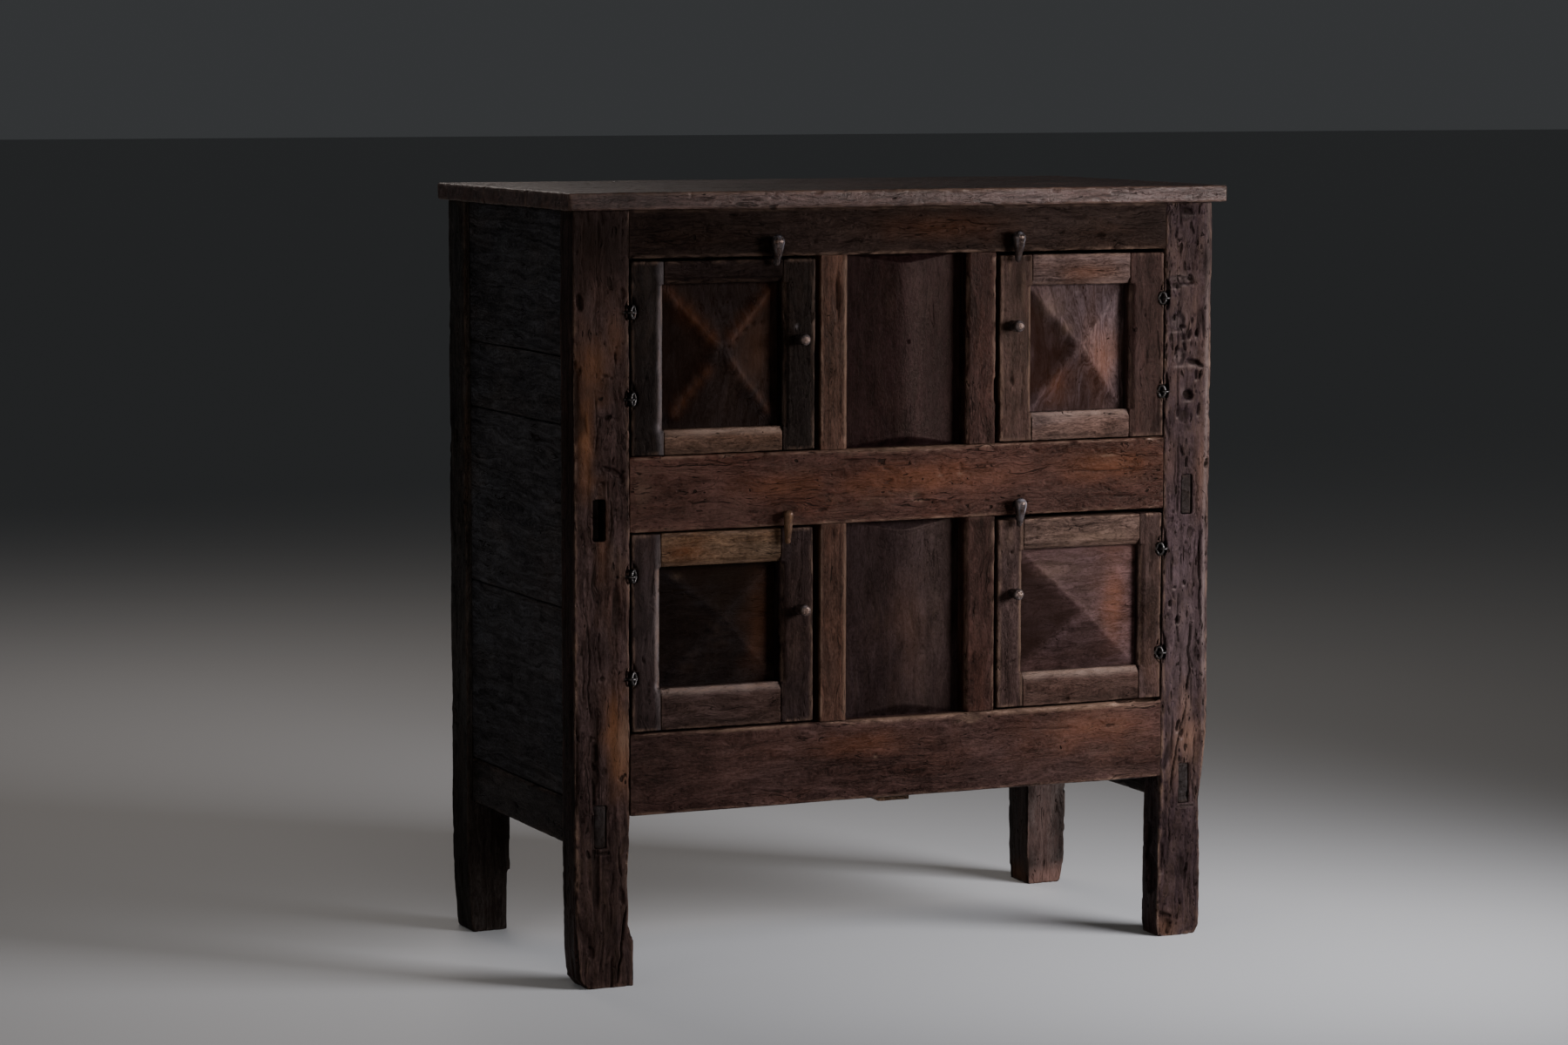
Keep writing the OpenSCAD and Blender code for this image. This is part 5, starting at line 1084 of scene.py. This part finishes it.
def eye_path(o, along, side, centre, length, r=0.0047, gap=0.0013, tall=1.0):
    """A wire bent into an eye with its two legs side by side: in along one leg, round, and out along the other."""
    a0 = math.asin(gap / r)
    loc = [(length, gap), (length * 0.6, gap), (centre + r * math.cos(a0) + 0.004, gap)]
    loc += [(centre + r * math.cos(a0 + (2 * math.pi - 2 * a0) * i / 30), r * math.sin(a0 + (2 * math.pi - 2 * a0) * i / 30)) for i in range(31)]
    loc += [(centre + r * math.cos(a0) + 0.004, -gap), (length * 0.6, -gap), (length, -gap)]
    return [o + along * s + side * q * (tall if s < centre + r * 0.9 else 1.0) for s, q in loc]


post_paths = []
for k, (x0, x1, z0, z1, h, hs, ls, tr, br) in DW.items():
    door_paths = []
    for zz in [q for q in HZ[-h] if z0 < q < z1]:
        o = Vector(((x0 - 1.5 if h > 0 else x1 + 1.5) / 1000, -0.003 + YS, zz / 1000))
        pd = Vector((math.cos(math.radians(145)) * h, math.sin(math.radians(145)), 0))
        dd = Vector((math.cos(math.radians(35)) * h, math.sin(math.radians(35)), 0))
        post_paths.append(eye_path(o, pd, Vector((-pd.y, pd.x, 0)), 0.0, 0.045))
        door_paths.append(eye_path(o, dd, Vector((0, 0, 1)), 0.0047, 0.032, tall=1.75))
    wire(door_paths, 0.0019, f"door_{k}_hinge_eyes_wire", f"door_{k}_hinge_eyes", 3)
wire(post_paths, 0.0018, "hinge_eyes_on_posts_wire", "hinge_eyes_on_posts", 7)
member("forged_nails", 0.0007, Wear(Z, 7100, r=0.5, chip=0.8, bow=0.3, ripple=0, tool=0.5, nick=0.8), M["iron"])

# ------------------------------------------------------------------ floor, light, camera
def floor():
    me = bpy.data.meshes.new("floor")
    s = 60.0
    me.from_pydata([(-s, -s, 0), (s, -s, 0), (s, s, 0), (-s, s, 0)], [], [(0, 1, 2, 3)])
    ob = bpy.data.objects.new("floor", me)
    col.objects.link(ob)
    m = bpy.data.materials.new("floor_pale")
    m.use_nodes = True
    b = m.node_tree.nodes["Principled BSDF"]
    b.inputs["Base Color"].default_value = (0.38, 0.38, 0.375, 1)
    b.inputs["Roughness"].default_value = 0.45
    me.materials.append(m)


def area(name, loc, target, size, power, colour=(1, 1, 1), sy=None, spread=180):
    l = bpy.data.lights.new(name, "AREA")
    l.shape = "RECTANGLE"
    l.size, l.size_y = size, sy or size
    l.energy = power
    l.spread = math.radians(spread)
    l.color = colour
    ob = bpy.data.objects.new(name, l)
    ob.location = loc
    ob.rotation_euler = (Vector(target) - Vector(loc)).to_track_quat("-Z", "Y").to_euler()
    col.objects.link(ob)


floor()
area("key", (1.58, -1.62, 1.00), (0.30, -0.24, 0.36), 1.25, 31.5, (1.0, 1.0, 1.07), 0.85, 72)
area("back", (-0.3, 2.7, 3.1), (0.0, 0.4, 0.4), 1.8, 40, (1.0, 0.90, 0.84), 1.2)
area("side", (-3.4, 0.9, 1.4), (-0.5, 0.1, 0.5), 1.6, 1.2, (0.72, 0.85, 1.0), 1.6, 60)
area("left", (-2.9, -1.5, 0.9), (0.0, -0.2, 0.55), 1.4, 3.2, (1.0, 0.98, 0.98), 1.4, 80)
area("fill", (-1.3, -4.5, 1.1), (0.0, 0.0, 0.5), 2.4, 60.0, (1.0, 0.93, 0.88))
w = bpy.data.worlds.new("world")
w.use_nodes = True
w.node_tree.nodes["Background"].inputs[0].default_value = (0.80, 0.84, 0.88, 1)
w.node_tree.nodes["Background"].inputs[1].default_value = 0.05
scene.world = w

cam = bpy.data.cameras.new("camera")
cam.sensor_width = 36.0
cam.lens = 98.63
camo = bpy.data.objects.new("camera", cam)
col.objects.link(camo)
yaw, pitch, roll = 0.4217, 0.1079, 0.0014
f = Vector((math.sin(yaw) * math.cos(pitch), math.cos(yaw) * math.cos(pitch), -math.sin(pitch)))
r = Vector((math.cos(yaw), -math.sin(yaw), 0))
u = r.cross(f)
r2 = r * math.cos(roll) + u * math.sin(roll)
u2 = -r * math.sin(roll) + u * math.cos(roll)
m = Matrix((r2, u2, -f)).transposed().to_4x4()
m.translation = Vector((-2.6176, -5.4283 + YS, 1.2814))
camo.matrix_world = m
scene.camera = camo
